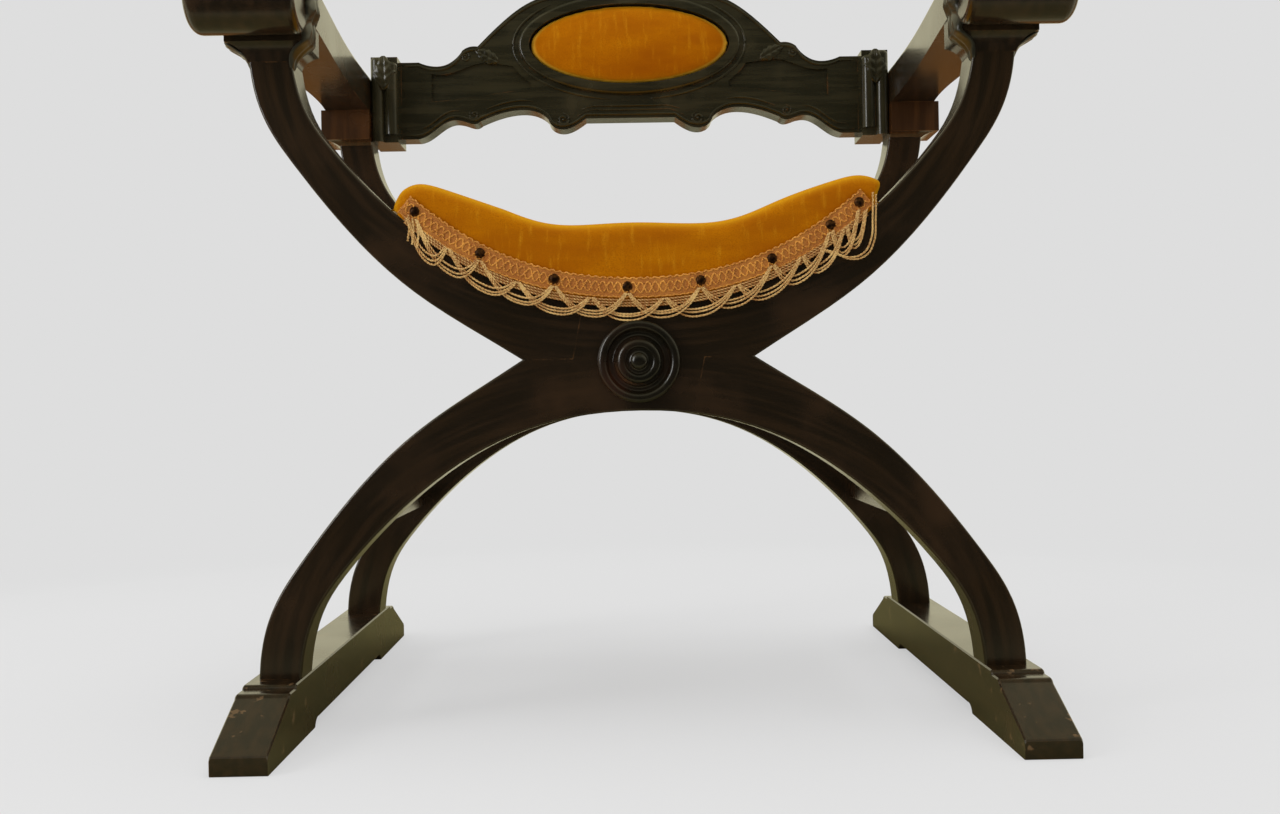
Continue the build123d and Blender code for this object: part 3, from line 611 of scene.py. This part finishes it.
def lining_profile():
    """The lining's section across the chair, as points of x and z."""
    edge, outer = slats_high.x + 1.2 * MM, cover_high.x - 2.5 * MM
    over = [(x, cradle(x) + SLAT_TOP + LINING_GAP) for x in np.linspace(-edge, edge, 71)]
    turned = [(x, cradle(x) + TACKED_RISE) for x in np.linspace(outer, edge, 5)]
    left = [(-x, z) for x, z in turned]
    return left + over + turned[::-1]


def build_lining():
    """A stretched sheet with that section, from the front of the slats to the back."""
    section = lining_profile()
    rows = 40
    front, back = slats_low.y + 1 * MM, slats_high.y - 1 * MM
    ready()
    bpy.ops.mesh.primitive_grid_add(x_subdivisions=len(section) - 1, y_subdivisions=rows, size=2)
    sheet = bpy.context.object
    for vertex in sheet.data.vertices:
        x, z = section[round((vertex.co.x + 1) / 2 * (len(section) - 1))]
        vertex.co = Vector((x, front + (back - front) * (vertex.co.y + 1) / 2, z))
    walled(sheet, LINING_THICKNESS, 0)
    return sheet


lining = build_lining()
lining.name = "seat_lining"
smooth_shading(lining)
print("lining built")

# %% [markdown]
# ## Oval back pad
# The pad in the back rail is a thin board with a little stuffing under the same velvet. The CAD solid has
# its outline and crown. A copy is remeshed into even faces, swollen very slightly so that its rim turns
# softly into the recess, and smoothed.


# %% Oval back pad
def soft_copy(node, voxel):
    """A copy of a CAD node as one even, closed mesh."""
    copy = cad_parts[node].copy()
    copy.data = copy.data.copy()
    copy.parent = None
    for key in list(copy.keys()):
        del copy[key]
    bpy.context.scene.collection.objects.link(copy)
    choose(copy)
    edit_whole()
    bpy.ops.mesh.remove_doubles(threshold=0.005 * MM)
    bpy.ops.object.mode_set(mode="OBJECT")
    remesh = copy.modifiers.new("Remesh", "REMESH")
    remesh.mode, remesh.voxel_size = "VOXEL", voxel
    apply_all(copy)
    return copy


velvet_back_pad = soft_copy("back_pad", 3 * MM)
velvet_back_pad.name = "velvet_back_pad"
held = velvet_back_pad.vertex_groups.new(name="held")
pad_low, pad_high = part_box("back_pad")
held.add([v.index for v in velvet_back_pad.data.vertices if v.co.y > pad_high.y - 4 * MM], 1.0, "REPLACE")
plump(velvet_back_pad, 2.0, 0.8 * MM, "held")
softer = velvet_back_pad.modifiers.new("Softer", "SMOOTH")
softer.factor, softer.iterations = 0.5, 6
finer = velvet_back_pad.modifiers.new("Finer", "SUBSURF")
finer.levels = finer.render_levels = 1
apply_all(velvet_back_pad)
uneven(velvet_back_pad, 0.3 * MM, 35 * MM)
smooth_shading(velvet_back_pad)
print("pad has", len(velvet_back_pad.data.polygons), "faces")

# %% [markdown]
# ## Twisted silk cord
# Braid and fringe are made of thin cord: two strands twisted round each other. One strand's round section
# and its twin are swept along a screw, which gives a straight cord, and a Curve modifier then lays it
# along any line. Real strands turn about every three millimetres; here they turn every six, which is
# as fine as still shows.

# %% Twisted cord
CORD_PITCH = 6 * MM
CORD_SIDES, TURN_STEPS = 5, 6


def smooth_line(points):
    """A curve that runs smoothly through points, with its sides kept upright."""
    data = bpy.data.curves.new("guide_line", "CURVE")
    data.dimensions, data.twist_mode, data.resolution_u = "3D", "Z_UP", 12
    spline = data.splines.new("BEZIER")
    spline.bezier_points.add(len(points) - 1)
    for knot, place in zip(spline.bezier_points, points):
        knot.co = place
        knot.handle_left_type = knot.handle_right_type = "AUTO"
    line = bpy.data.objects.new("guide_line", data)
    bpy.context.scene.collection.objects.link(line)
    return line


def cord_section(thickness):
    """The round sections of two strands, side by side across the X axis."""
    strand = 0.29 * thickness
    ready()
    place, turn = (0, 0, thickness / 2 - strand), (0, pi / 2, 0)
    bpy.ops.mesh.primitive_circle_add(vertices=CORD_SIDES, radius=strand, location=place, rotation=turn)
    bpy.ops.object.transform_apply()
    edit_whole()
    bpy.ops.mesh.duplicate()
    bpy.ops.transform.rotate(value=pi, orient_axis="X", center_override=(0, 0, 0))
    bpy.ops.object.mode_set(mode="OBJECT")
    return bpy.context.object


def close_ends(piece):
    """Caps every open end and turns all faces outwards."""
    choose(piece)
    edit_whole()
    bpy.ops.mesh.remove_doubles(threshold=0.001 * MM)
    bpy.ops.mesh.select_all(action="SELECT")
    bpy.ops.mesh.fill_holes(sides=CORD_SIDES)
    bpy.ops.mesh.select_all(action="SELECT")
    bpy.ops.mesh.normals_make_consistent(inside=False)
    bpy.ops.object.mode_set(mode="OBJECT")


def twisted_cord(points, thickness):
    """A twisted cord of that thickness that runs smoothly through points."""
    line = smooth_line(points)
    length = line.data.splines[0].calc_length()
    turns = max(3, round(length / CORD_PITCH))
    cord = cord_section(thickness)
    twist = cord.modifiers.new("Twist", "SCREW")
    twist.axis, twist.angle, twist.iterations = "X", 2 * pi, turns
    twist.screw_offset = length / turns
    twist.steps = twist.render_steps = TURN_STEPS
    lay = cord.modifiers.new("Lay", "CURVE")
    lay.object, lay.deform_axis = line, "POS_X"
    apply_all(cord)
    bpy.data.objects.remove(line)
    return cord


def joined(pieces, name):
    """Several pieces as one, named name."""
    ready()
    for piece in pieces:
        piece.select_set(True)
    bpy.context.view_layer.objects.active = pieces[0]
    bpy.ops.object.join()
    pieces[0].name = name
    return pieces[0]


print("cord helpers ready")

# %% [markdown]
# ## Braid
# The braid is woven flat, by the yard, and then sewn along the curve. It is made the same way here: a
# thin ribbon carries a cord along each edge and two wavy cords that cross in the middle, all straight,
# and one Curve modifier bends the finished length along the cradle.

# %% Braid
BRAID_HALF, BRAID_WIDTH, BRAID_MIDDLE = 0.192, 16 * MM, 14 * MM
BRAID_FRONT = cover_low.y - 1.0 * MM
SCROLL_PERIOD, SCROLL_REACH = 12.5 * MM, 4.4 * MM


def along_cradle(lift, y):
    """Points on the cradle line over the braid's length, lifted, at one depth."""
    return [Vector((x, y, cradle(x) + lift)) for x in np.linspace(-BRAID_HALF, BRAID_HALF, 49)]


def wave(length, period, reach, shift, z, y):
    """Points of a straight run along X that waves up and down, eight to a period."""
    count = round(length / period * 8)
    return [
        Vector((length * i / count, y, z + reach * cos(pi * i / 4 + shift)))
        for i in range(count + 1)
    ]


def build_braid():
    """The whole braid, bent along the cradle."""
    line = smooth_line(along_cradle(BRAID_MIDDLE, BRAID_FRONT))
    length = line.data.splines[0].calc_length()
    ready()
    bpy.ops.mesh.primitive_grid_add(x_subdivisions=300, y_subdivisions=10, size=1)
    ribbon = bpy.context.object
    for vertex in ribbon.data.vertices:
        x, z = (vertex.co.x + 0.5) * length, -vertex.co.y * BRAID_WIDTH
        vertex.co = (x, 0.12 * MM * cos(2 * pi * x / (3 * MM)), z)
    walled(ribbon, 0.8 * MM, 0)
    edge = BRAID_WIDTH / 2 - 0.3 * MM
    scrolls = [wave(length, SCROLL_PERIOD, SCROLL_REACH, shift, 0, -0.9 * MM) for shift in (0, pi)]
    picot = wave(length, SCROLL_PERIOD / 2, 0.6 * MM, 0, edge, -0.6 * MM)
    hem = wave(length, SCROLL_PERIOD / 2, 0.3 * MM, pi, -edge, -0.6 * MM)
    cords = [twisted_cord(points, 1.8 * MM) for points in (*scrolls, picot, hem)]
    braid = joined([ribbon, *cords], "silk_braid")
    lay = braid.modifiers.new("Lay", "CURVE")
    lay.object, lay.deform_axis = line, "POS_X"
    apply_all(braid)
    bpy.data.objects.remove(line)
    close_ends(braid)
    return braid


silk_braid = build_braid()
smooth_shading(silk_braid)
print("braid", [round(1000 * v, 1) for v in (*silk_braid.bound_box[0], *silk_braid.bound_box[6])])

# %% [markdown]
# ## Nails
# Eight dark nails hold the braid, and eight more hold the velvet at the back. Each head is a hammered
# dome with a thin rim. One is modelled and then copied to each place.

# %% Nails
NAIL_RADIUS, NAIL_HEIGHT, NAIL_RISE = 4.1 * MM, 2.3 * MM, 15 * MM
FRONT_NAILS = [x * MM for x in (-183.0, -130.0, -69.0, -8.5, 52.4, 112.0, 161.0, 185.3)]
REAR_NAILS = [0.1805 * (2 * i / 7 - 1) for i in range(8)]


def nail_head():
    """One nail head: its base on the XY plane, its crown upwards."""
    ready()
    bpy.ops.mesh.primitive_uv_sphere_add(segments=14, ring_count=10, radius=NAIL_RADIUS)
    head = bpy.context.object
    edit_whole()
    bpy.ops.mesh.bisect(plane_co=(0, 0, 0.6 * MM), plane_no=(0, 0, 1), clear_inner=True)
    bpy.ops.mesh.select_mode(type="EDGE")
    bpy.ops.mesh.select_all(action="DESELECT")
    bpy.ops.mesh.select_non_manifold()
    bpy.ops.mesh.extrude_region_move(TRANSFORM_OT_translate={"value": (0, 0, -0.2 * MM)})
    bpy.ops.transform.resize(value=(1.1, 1.1, 1), center_override=(0, 0, 0))
    bpy.ops.mesh.extrude_region_move(TRANSFORM_OT_translate={"value": (0, 0, -0.5 * MM)})
    bpy.ops.mesh.edge_face_add()
    bpy.ops.mesh.select_all(action="SELECT")
    bpy.ops.transform.resize(value=(1, 1, NAIL_HEIGHT / NAIL_RADIUS), center_override=(0, 0, 0))
    bpy.ops.mesh.normals_make_consistent(inside=False)
    bpy.ops.object.mode_set(mode="OBJECT")
    for vertex in head.data.vertices:
        dent = 1 + 0.07 * noise(vertex.co / (2.2 * MM))
        vertex.co = (vertex.co.x * dent, vertex.co.y * dent, vertex.co.z * dent)
    return head


def driven(head, x, y, facing):
    """A copy of the head at x, on the face at y; facing is -1 at the front and 1 at the back."""
    copy = head.copy()
    copy.data = head.data.copy()
    bpy.context.scene.collection.objects.link(copy)
    turn = Matrix.Rotation(-facing * pi / 2, 4, "X") @ Matrix.Rotation(37 * x, 4, "Z")
    copy.data.transform(Matrix.Translation((x, y, cradle(x) + NAIL_RISE)) @ turn)
    return copy


head = nail_head()
front_heads = [driven(head, x, BRAID_FRONT - 1.2 * MM, -1) for x in FRONT_NAILS]
rear_heads = [driven(head, x, cover_high.y - 0.6 * MM, 1) for x in REAR_NAILS]
bpy.data.objects.remove(head)
braid_nails = joined(front_heads, "braid_nails")
rear_velvet_nails = joined(rear_heads, "rear_velvet_nails")
for piece in (braid_nails, rear_velvet_nails):
    smooth_shading(piece)
print("nails driven")

# %% [markdown]
# ## Looped fringe
# From the braid hang swags of cord in two sets. One set runs from nail to nail. The other starts half way
# between them and hangs under each nail, a little lower. Where they meet, each cord passes in front of
# one neighbour and behind the next, so the sets lock. A swag is three cords side by side.

# %% Looped fringe
CORD, HEADING_CORD = 1.95 * MM, 2.3 * MM
FRINGE_FRONT = BRAID_FRONT - 1.9 * MM


def swag(start, end, drop, sway):
    """Points of a cord that hangs between two points given as x and lift over the cradle."""
    (x0, lift0), (x1, lift1) = start, end
    z0, z1 = cradle(x0) + lift0, cradle(x1) + lift1
    points = []
    for i in range(11):
        share = i / 10
        dip = 1 - abs(2 * share - 1) ** 2.4
        y = FRINGE_FRONT + sway * sin(2 * pi * share)
        points.append(Vector((x0 + (x1 - x0) * share, y, z0 + (z1 - z0) * share - drop * dip)))
    return points


def swag_set(joints, lift, drops, sway):
    """Swags from each joint to the next, one cord for each drop."""
    made = []
    for number, (left, right) in enumerate(zip(joints, joints[1:])):
        steep = 1 + 0.45 * abs(cradle(right) - cradle(left)) / (right - left)
        for row, drop in enumerate(drops):
            gap = (0.4 + 0.9 * row) * MM
            hang = drop * steep + 0.5 * MM * sin(5.1 * number + 2.3 * row)
            made.append(swag((left + gap, lift), (right - gap, lift), hang, sway))
    return made


def hanging(x):
    """A short cord that hangs straight down at the left end."""
    return [Vector((x + 0.8 * MM * sin(i), FRINGE_FRONT, cradle(x) + (8 - 5.5 * i) * MM)) for i in range(5)]


def long_loop(shift):
    """A long cord that hangs from the top of the right end and is caught up again under the last nail."""
    route = ((154, 398), (165, 395), (178, 390.5), (190, 393.5), (196.5, 404), (198.5, 425), (199, 444))
    y = FRINGE_FRONT - 0.3 * shift
    return [Vector((x * MM - shift, y, z * MM + 0.6 * shift)) for x, z in route]


def build_fringe():
    """Both sets of swags, the heading cords, and the loose cords at both ends."""
    nails = FRONT_NAILS
    halfway = [(a + b) / 2 for a, b in zip(nails, nails[1:])]
    under = [-0.1905, *halfway, 0.1915]
    lines = swag_set(nails, 9 * MM, (21.2 * MM, 18.5 * MM, 15.8 * MM), 1.2 * MM)
    lines += swag_set(under, 4 * MM, (18.0 * MM, 15.3 * MM, 12.6 * MM), 1.2 * MM)
    lines += [hanging(x * MM) for x in (-188.5, -185.0, -181.0)]
    lines += [long_loop(shift * MM) for shift in (0, 2.6)]
    headings = [along_cradle(lift, BRAID_FRONT - 0.5 * MM) for lift in (3.6 * MM, 1.3 * MM, -0.9 * MM)]
    cords = [twisted_cord(points, CORD) for points in lines]
    cords += [twisted_cord(points, HEADING_CORD) for points in headings]
    return joined(cords, "silk_fringe")


silk_fringe = build_fringe()
close_ends(silk_fringe)
smooth_shading(silk_fringe)
print("fringe has", len(silk_fringe.data.polygons), "faces")

# %% [markdown]
# ## Silk velvet
# Velvet has a short dense pile. Light that grazes it catches the tips of the threads and gives a pale
# bloom along every edge, while light straight on sinks in. Here that bloom is a painted sheen: faces turned
# away from the front and back are painted paler, so the colour is deepest on the front and back faces, and
# the back pad gets a painted pale rim. Strokes of a hand leave patches and a few streaks where the pile
# leans another way.


# %% Silk velvet
def oval_reach(tree, place, low, high):
    """How far out a place lies on an oval seen from the front: 0 in the middle and 1 at the rim."""
    middle, half = (low + high) / 2, (high - low) / 2
    shrink = (1 / half.x, 0, 1 / half.z)
    place = add(tree, "VectorMath", {0: place, 1: middle}, operation="SUBTRACT")[0]
    place = add(tree, "VectorMath", {0: place, 1: shrink}, operation="MULTIPLY")[0]
    return add(tree, "VectorMath", {0: place}, operation="LENGTH")["Value"]


def silk_velvet(name, oval=None):
    """Golden ochre silk velvet with brushed patches, and a painted sheen on faces turned away from the
    front and back. Oval holds the corners of a pad whose rim gets a painted sheen."""
    material, tree, place = new_material(name)
    brushed = add(tree, "Mapping", {0: place, 3: (0.3, 1.0, 1.0)})[0]
    lean = add(tree, "TexNoise", {0: brushed, "Scale": 60.0, "Detail": 3.0})[0]
    combed = add(tree, "Mapping", {0: place, 3: (1.0, 0.2, 0.2)})[0]
    strokes = add(tree, "TexNoise", {0: combed, "Scale": 210.0, "Detail": 4.0})[0]
    tufts = add(tree, "TexNoise", {0: place, "Scale": 1100.0, "Detail": 2.0})[0]
    # Painted sheen: faces turned away from the front and back, the top most of all, are painted a paler
    # gold.
    facing = add(tree, "NewGeometry", {})["Normal"]
    straight_on = add(tree, "SeparateXYZ", {0: facing})[1]
    straight_on = add(tree, "Math", {0: straight_on}, operation="ABSOLUTE")[0]
    painted_sheen_side_on = add(tree, "Math", {0: 1.0, 1: straight_on}, operation="SUBTRACT")[0]
    layers = [
        (lean, 0.2, 0.8, 1.0, linear("#be7200")),
        (strokes, 0.52, 0.78, 0.6, linear("#d08c14")),
        (tufts, 0.6, 0.2, 1.0, linear("#a05800")),
        (painted_sheen_side_on, 0.0, 0.5, 0.62, linear("#da9e10")),
    ]
    if oval:
        # Painted sheen: the pad's rim is painted a pale gold.
        layers.append((oval_reach(tree, place, *oval), 0.93, 0.985, 0.75, linear("#f0bc3c")))
    tone = coats(tree, linear("#a65a00"), *layers)
    pile = add(tree, "Math", {0: strokes, 1: 0.5, 2: tufts}, operation="MULTIPLY_ADD")[0]
    bump = add(tree, "Bump", {"Strength": 0.35, "Distance": 0.0004, "Height": pile})[0]
    sockets = {"Base Color": tone, "Roughness": 0.9, "Normal": bump, "IOR": 1.4}
    sockets.update({"Specular IOR Level": 0.1, "Sheen Weight": 0.5, "Sheen Roughness": 0.3})
    sockets["Sheen Tint"] = linear("#ffb000")
    return surfaced(material, tree, sockets)


# %% [markdown]
# ## Silk cord and old brass
# Spun silk is made of filaments a few hundredths of a millimetre thick, too fine to show here, so they are
# drawn coarser, as streaks about a millimetre across. The nails were lacquered brass once and have gone
# brown. Where cloths have rubbed them, spots of paler metal still show.

# %% Trimmings
def silk_cord(name, dark, light, front=None, painted_shade=0.8):
    """Spun silk in streaks of two threads; behind the plane Y = front, a share of painted shade darkens
    them.
    """
    material, tree, place = new_material(name)
    dark, light = linear(dark), linear(light)
    threads = add(tree, "TexNoise", {0: place, "Scale": 1400.0, "Detail": 2.0})[0]
    faded = add(tree, "TexNoise", {0: place, "Scale": 60.0, "Detail": 2.0})[0]
    layers = [(threads, 0.35, 0.65, 1.0, light), (faded, 0.5, 0.8, 1.0, light)]
    if front is not None:
        # Painted shade: the cords that lie behind the plane Y = front are darkened towards the dark thread
        # colour.
        depth = add(tree, "SeparateXYZ", {0: place})[1]
        layers.append((depth, front - 0.5 * MM, front + 0.1 * MM, painted_shade, dark))
    tone = coats(tree, dark, *layers)
    bump = add(tree, "Bump", {"Strength": 0.4, "Distance": 0.0003, "Height": threads})[0]
    sockets = {"Base Color": tone, "Roughness": 0.5, "Normal": bump, "IOR": 1.5}
    sockets.update({"Sheen Weight": 0.12, "Sheen Roughness": 0.4})
    sockets["Sheen Tint"] = linear("#ffc060")
    return surfaced(material, tree, sockets)


def place_on(piece, body, slot, material, *nodes):
    """Gives a new piece its material and its body, and hides the CAD nodes it stands for. Slot is not used.
    """
    piece.data.materials.clear()
    piece.data.materials.append(material)
    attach(piece, body)
    if nodes:
        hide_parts(*nodes)


# The braid and the fringe get painted shade behind the given planes, by the given shares.
braid_silk = silk_cord("peach_silk_braid", "#a85c0a", "#f2aa42", BRAID_FRONT - 0.6 * MM, 0.6)
fringe_silk = silk_cord("cream_gold_silk_cord", "#a05c14", "#f6d084", BRAID_FRONT - 1.1 * MM)
hessian = silk_cord("hessian", "#6c5636", "#8c7650")
brass = worn_metal("darkened_brass", "#2a1608", "#6a4420", 300.0, 0.42, 0.8)
place_on(velvet_seat, "seat", "velvet", silk_velvet("golden_silk_velvet"), "seat_cover")
place_on(lining, "seat", "stuffing", hessian, "seat_stuffing")
pad_velvet = silk_velvet("golden_silk_velvet_pale_at_the_rim", (pad_low, pad_high))
place_on(velvet_back_pad, "frame", "velvet", pad_velvet, "back_pad")
place_on(silk_braid, "seat", "braid", braid_silk, "seat_braid")
place_on(silk_fringe, "seat", "fringe", fringe_silk, "seat_fringe")
place_on(braid_nails, "seat", "nail_brass", brass, "front_nails")
place_on(rear_velvet_nails, "seat", "nail_brass", brass, "rear_nails")
print("soft goods finished")

# %% [markdown]
# ## Carved beads and volutes on the back rail
# A carver outlines a shaped rail with narrow beads, and turns each lobe into a small volute. A bead is a
# half-round line that lies on the face: as a curve with a round bevel, half of it sunk in the wood, it
# follows any outline and thins out at its ends. The outlines themselves come from the rail, by casting
# rays at it from below and from above. Each bead becomes a mesh before it is joined to the others.

# %% Beads and volutes
_, rail_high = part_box("back_rail")
RAIL_FACE, RAIL_END = rail_high.y - 26 * MM, 0.252


def rail_edge(x, side):
    """Height of the rail's edge at x: the lower one for side -1, the upper one for side 1."""
    start = Vector((x, RAIL_FACE + 8 * MM, 0.64 + 0.4 * side))
    _, place, _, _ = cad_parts["back_rail"].ray_cast(start, Vector((0, 0, -side)))
    return place.z


def bead(points, radius, taper=0.35):
    """A round bead through points, thinner towards both ends, as a closed mesh."""
    line = smooth_line(points)
    line.data.resolution_u, line.data.bevel_resolution = 3, 2
    line.data.bevel_depth, line.data.use_fill_caps = radius, True
    knots = line.data.splines[0].bezier_points
    for number, knot in enumerate(knots):
        share = min(number, len(knots) - 1 - number) / 3
        knot.radius = min(1.0, taper + (1 - taper) * share)
    choose(line)
    bpy.ops.object.convert(target="MESH")
    return bpy.context.object


def edge_bead(side, lift, radius, left, right, count):
    """A bead that follows the rail's lower or upper edge, lift inside it."""
    xs = np.linspace(left, right, count)
    heights = np.array([rail_edge(float(x), side) for x in xs]) - side * lift
    return bead([Vector((x, RAIL_FACE, z)) for x, z in zip(xs, heights)], radius)


def volute(x, z, size, hand, radius):
    """A spiral bead round a small button; hand 1 winds to the left as seen from the front."""
    points = []
    for i in range(13):
        share = i / 12
        angle = pi / 2 + hand * 2 * pi * 1.35 * share
        reach = size * (1 - 0.72 * share)
        points.append(Vector((x + reach * cos(angle), RAIL_FACE, z + reach * sin(angle))))
    ready()
    middle = (x, RAIL_FACE, z)
    bpy.ops.mesh.primitive_uv_sphere_add(segments=12, ring_count=8, radius=0.24 * size, location=middle)
    button = bpy.context.object
    bpy.ops.object.transform_apply()
    return [bead(points, radius), button]


def ring_bead(side):
    """A bead outside the oval moulding, round its outer end."""
    middle = (pad_low + pad_high) / 2
    wide, high = pad_high.x + 19 * MM, (pad_high.z - pad_low.z) / 2 + 18.5 * MM
    points = []
    for angle in np.linspace(radians(-80), radians(48), 30):
        points.append(Vector((side * wide * cos(angle), RAIL_FACE, middle.z + high * sin(angle))))
    return bead(points, 1.5 * MM)


carved = [
    edge_bead(-1, 4.5 * MM, 1.6 * MM, -RAIL_END, RAIL_END, 121),
    edge_bead(-1, 9.5 * MM, 1.0 * MM, -0.06, 0.06, 9),
    edge_bead(-1, 14 * MM, 1.4 * MM, -0.055, 0.055, 9),
    edge_bead(1, 4 * MM, 1.4 * MM, -RAIL_END, -0.075, 45),
    edge_bead(1, 4 * MM, 1.4 * MM, 0.075, RAIL_END, 45),
]
for side in (-1, 1):
    carved.append(edge_bead(-1, 11 * MM, 1.2 * MM, side * 0.108, side * 0.162, 12))
    carved.append(edge_bead(-1, 11 * MM, 1.2 * MM, side * 0.192, side * 0.244, 12))
    carved.append(ring_bead(side))
    carved += volute(side * 0.0755, 0.5945, 7.5 * MM, side, 1.5 * MM)
    carved += volute(side * 0.175, 0.6015, 6 * MM, -side, 1.3 * MM)
    carved += volute(side * 0.184, 0.6665, 5.5 * MM, side, 1.2 * MM)
rail_carving = joined(carved, "rail_carving")
close_ends(rail_carving)
print("rail carving has", len(rail_carving.data.polygons), "faces")

# %% [markdown]
# ## Carved leaves
# Leaves soften the places where pieces meet: one hangs down the inside of each front capital, a smaller one
# down its outside, and one stands on each back post and beside the oval. A leaf is a flat grid that is
# narrowed to a lobed outline, domed, and given a sunk midrib and raised side veins. It then gets a wall
# of real thickness, so its back lies in the wood. The leaves on the capitals follow their hollow.

# %% Leaves
LEAF_COLUMNS, LEAF_ROWS = 14, 30


def carved_leaf(length, width, height):
    """A leaf that stands on the origin in the XZ plane, with its face towards -Y."""
    ready()
    bpy.ops.mesh.primitive_grid_add(x_subdivisions=LEAF_COLUMNS, y_subdivisions=LEAF_ROWS, size=2)
    leaf = bpy.context.object
    for vertex in leaf.data.vertices:
        aside, along = vertex.co.x, (vertex.co.y + 1) / 2
        far = abs(aside)
        outline = sin(pi * (0.12 + 0.86 * along)) ** 0.7 * (0.8 + 0.2 * abs(cos(4 * pi * along)))
        dome = (1 - far**2) ** 0.5 * (0.4 + 0.6 * sin(pi * along) ** 0.5)
        midrib = 0.35 * 2.718 ** (-((aside / 0.15) ** 2))
        veins = 0.22 * far**0.5 * cos(8 * pi * (along - 0.2 * far))
        rise = height * (dome - midrib + veins * dome) - 0.5 * MM
        sweep = 0.1 * length * far * (1 - along)
        vertex.co = Vector((aside * outline * width / 2, -rise, length * along + sweep))
    walled(leaf, 1.6 * MM, -1)
    return leaf


def placed(leaf, turns, place):
    """Turns a leaf, axis by axis, and moves it to its place."""
    for axis, angle in turns:
        leaf.data.transform(Matrix.Rotation(radians(angle), 4, axis))
    leaf.data.transform(Matrix.Translation(place))
    return leaf


def capital_leaf(side, inside, length, width):
    """A leaf that hangs down the inner or the outer side of a front capital and follows its hollow."""
    low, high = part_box("front_right_capital")
    hollow_top, hollow = low.z + 15 * MM, 13 * MM if inside else 17 * MM
    turn = 90 if (side < 0) == inside else -90
    face = side * (low.x - 0.3 * MM if inside else high.x + 0.3 * MM)
    top = high.z + (32 * MM if inside else -1 * MM)
    height, middle = (6 * MM, low.y + 14 * MM) if inside else (4 * MM, low.y + 22 * MM)
    leaf = placed(carved_leaf(length, width, height), (("Y", 180), ("Z", turn)), (face, middle, top))
    inward = side if inside else -side
    for vertex in leaf.data.vertices:
        drop = clamped((hollow_top - vertex.co.z) / (15 * MM))
        vertex.co.x += inward * hollow * sin(pi / 2 * drop)
        if inside:
            above = clamped((vertex.co.z - high.z + 4 * MM) / (8 * MM))
            vertex.co.x -= inward * 4 * MM * above
    return leaf


leaves, black_leaves = [], []
post_low, post_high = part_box("right_back_post")
for side in (-1, 1):
    leaves.append(capital_leaf(side, True, 76 * MM, 40 * MM))
    leaves.append(capital_leaf(side, False, 40 * MM, 34 * MM))
    at_post = (side * 0.2705, post_low.y + 2 * MM, post_high.z - 38 * MM)
    black_leaves.append(placed(carved_leaf(38 * MM, 27 * MM, 4 * MM), (), at_post))
    beside = (side * 0.146, RAIL_FACE, 0.660)
    black_leaves.append(placed(carved_leaf(30 * MM, 17 * MM, 2.6 * MM), (("Y", side * 62),), beside))
capital_leaves = joined(leaves, "capital_leaves")
back_leaves = joined(black_leaves, "back_leaves")
leaf_wood = ebonised("z", "olive_black", mirror=0.3)
for piece, material in ((rail_carving, black["x"]), (capital_leaves, leaf_wood), (back_leaves, black["z"])):
    smooth_shading(piece)
    place_on(piece, "frame", "ebonised_wood", material)
print("leaves have", len(capital_leaves.data.polygons) + len(back_leaves.data.polygons), "faces")
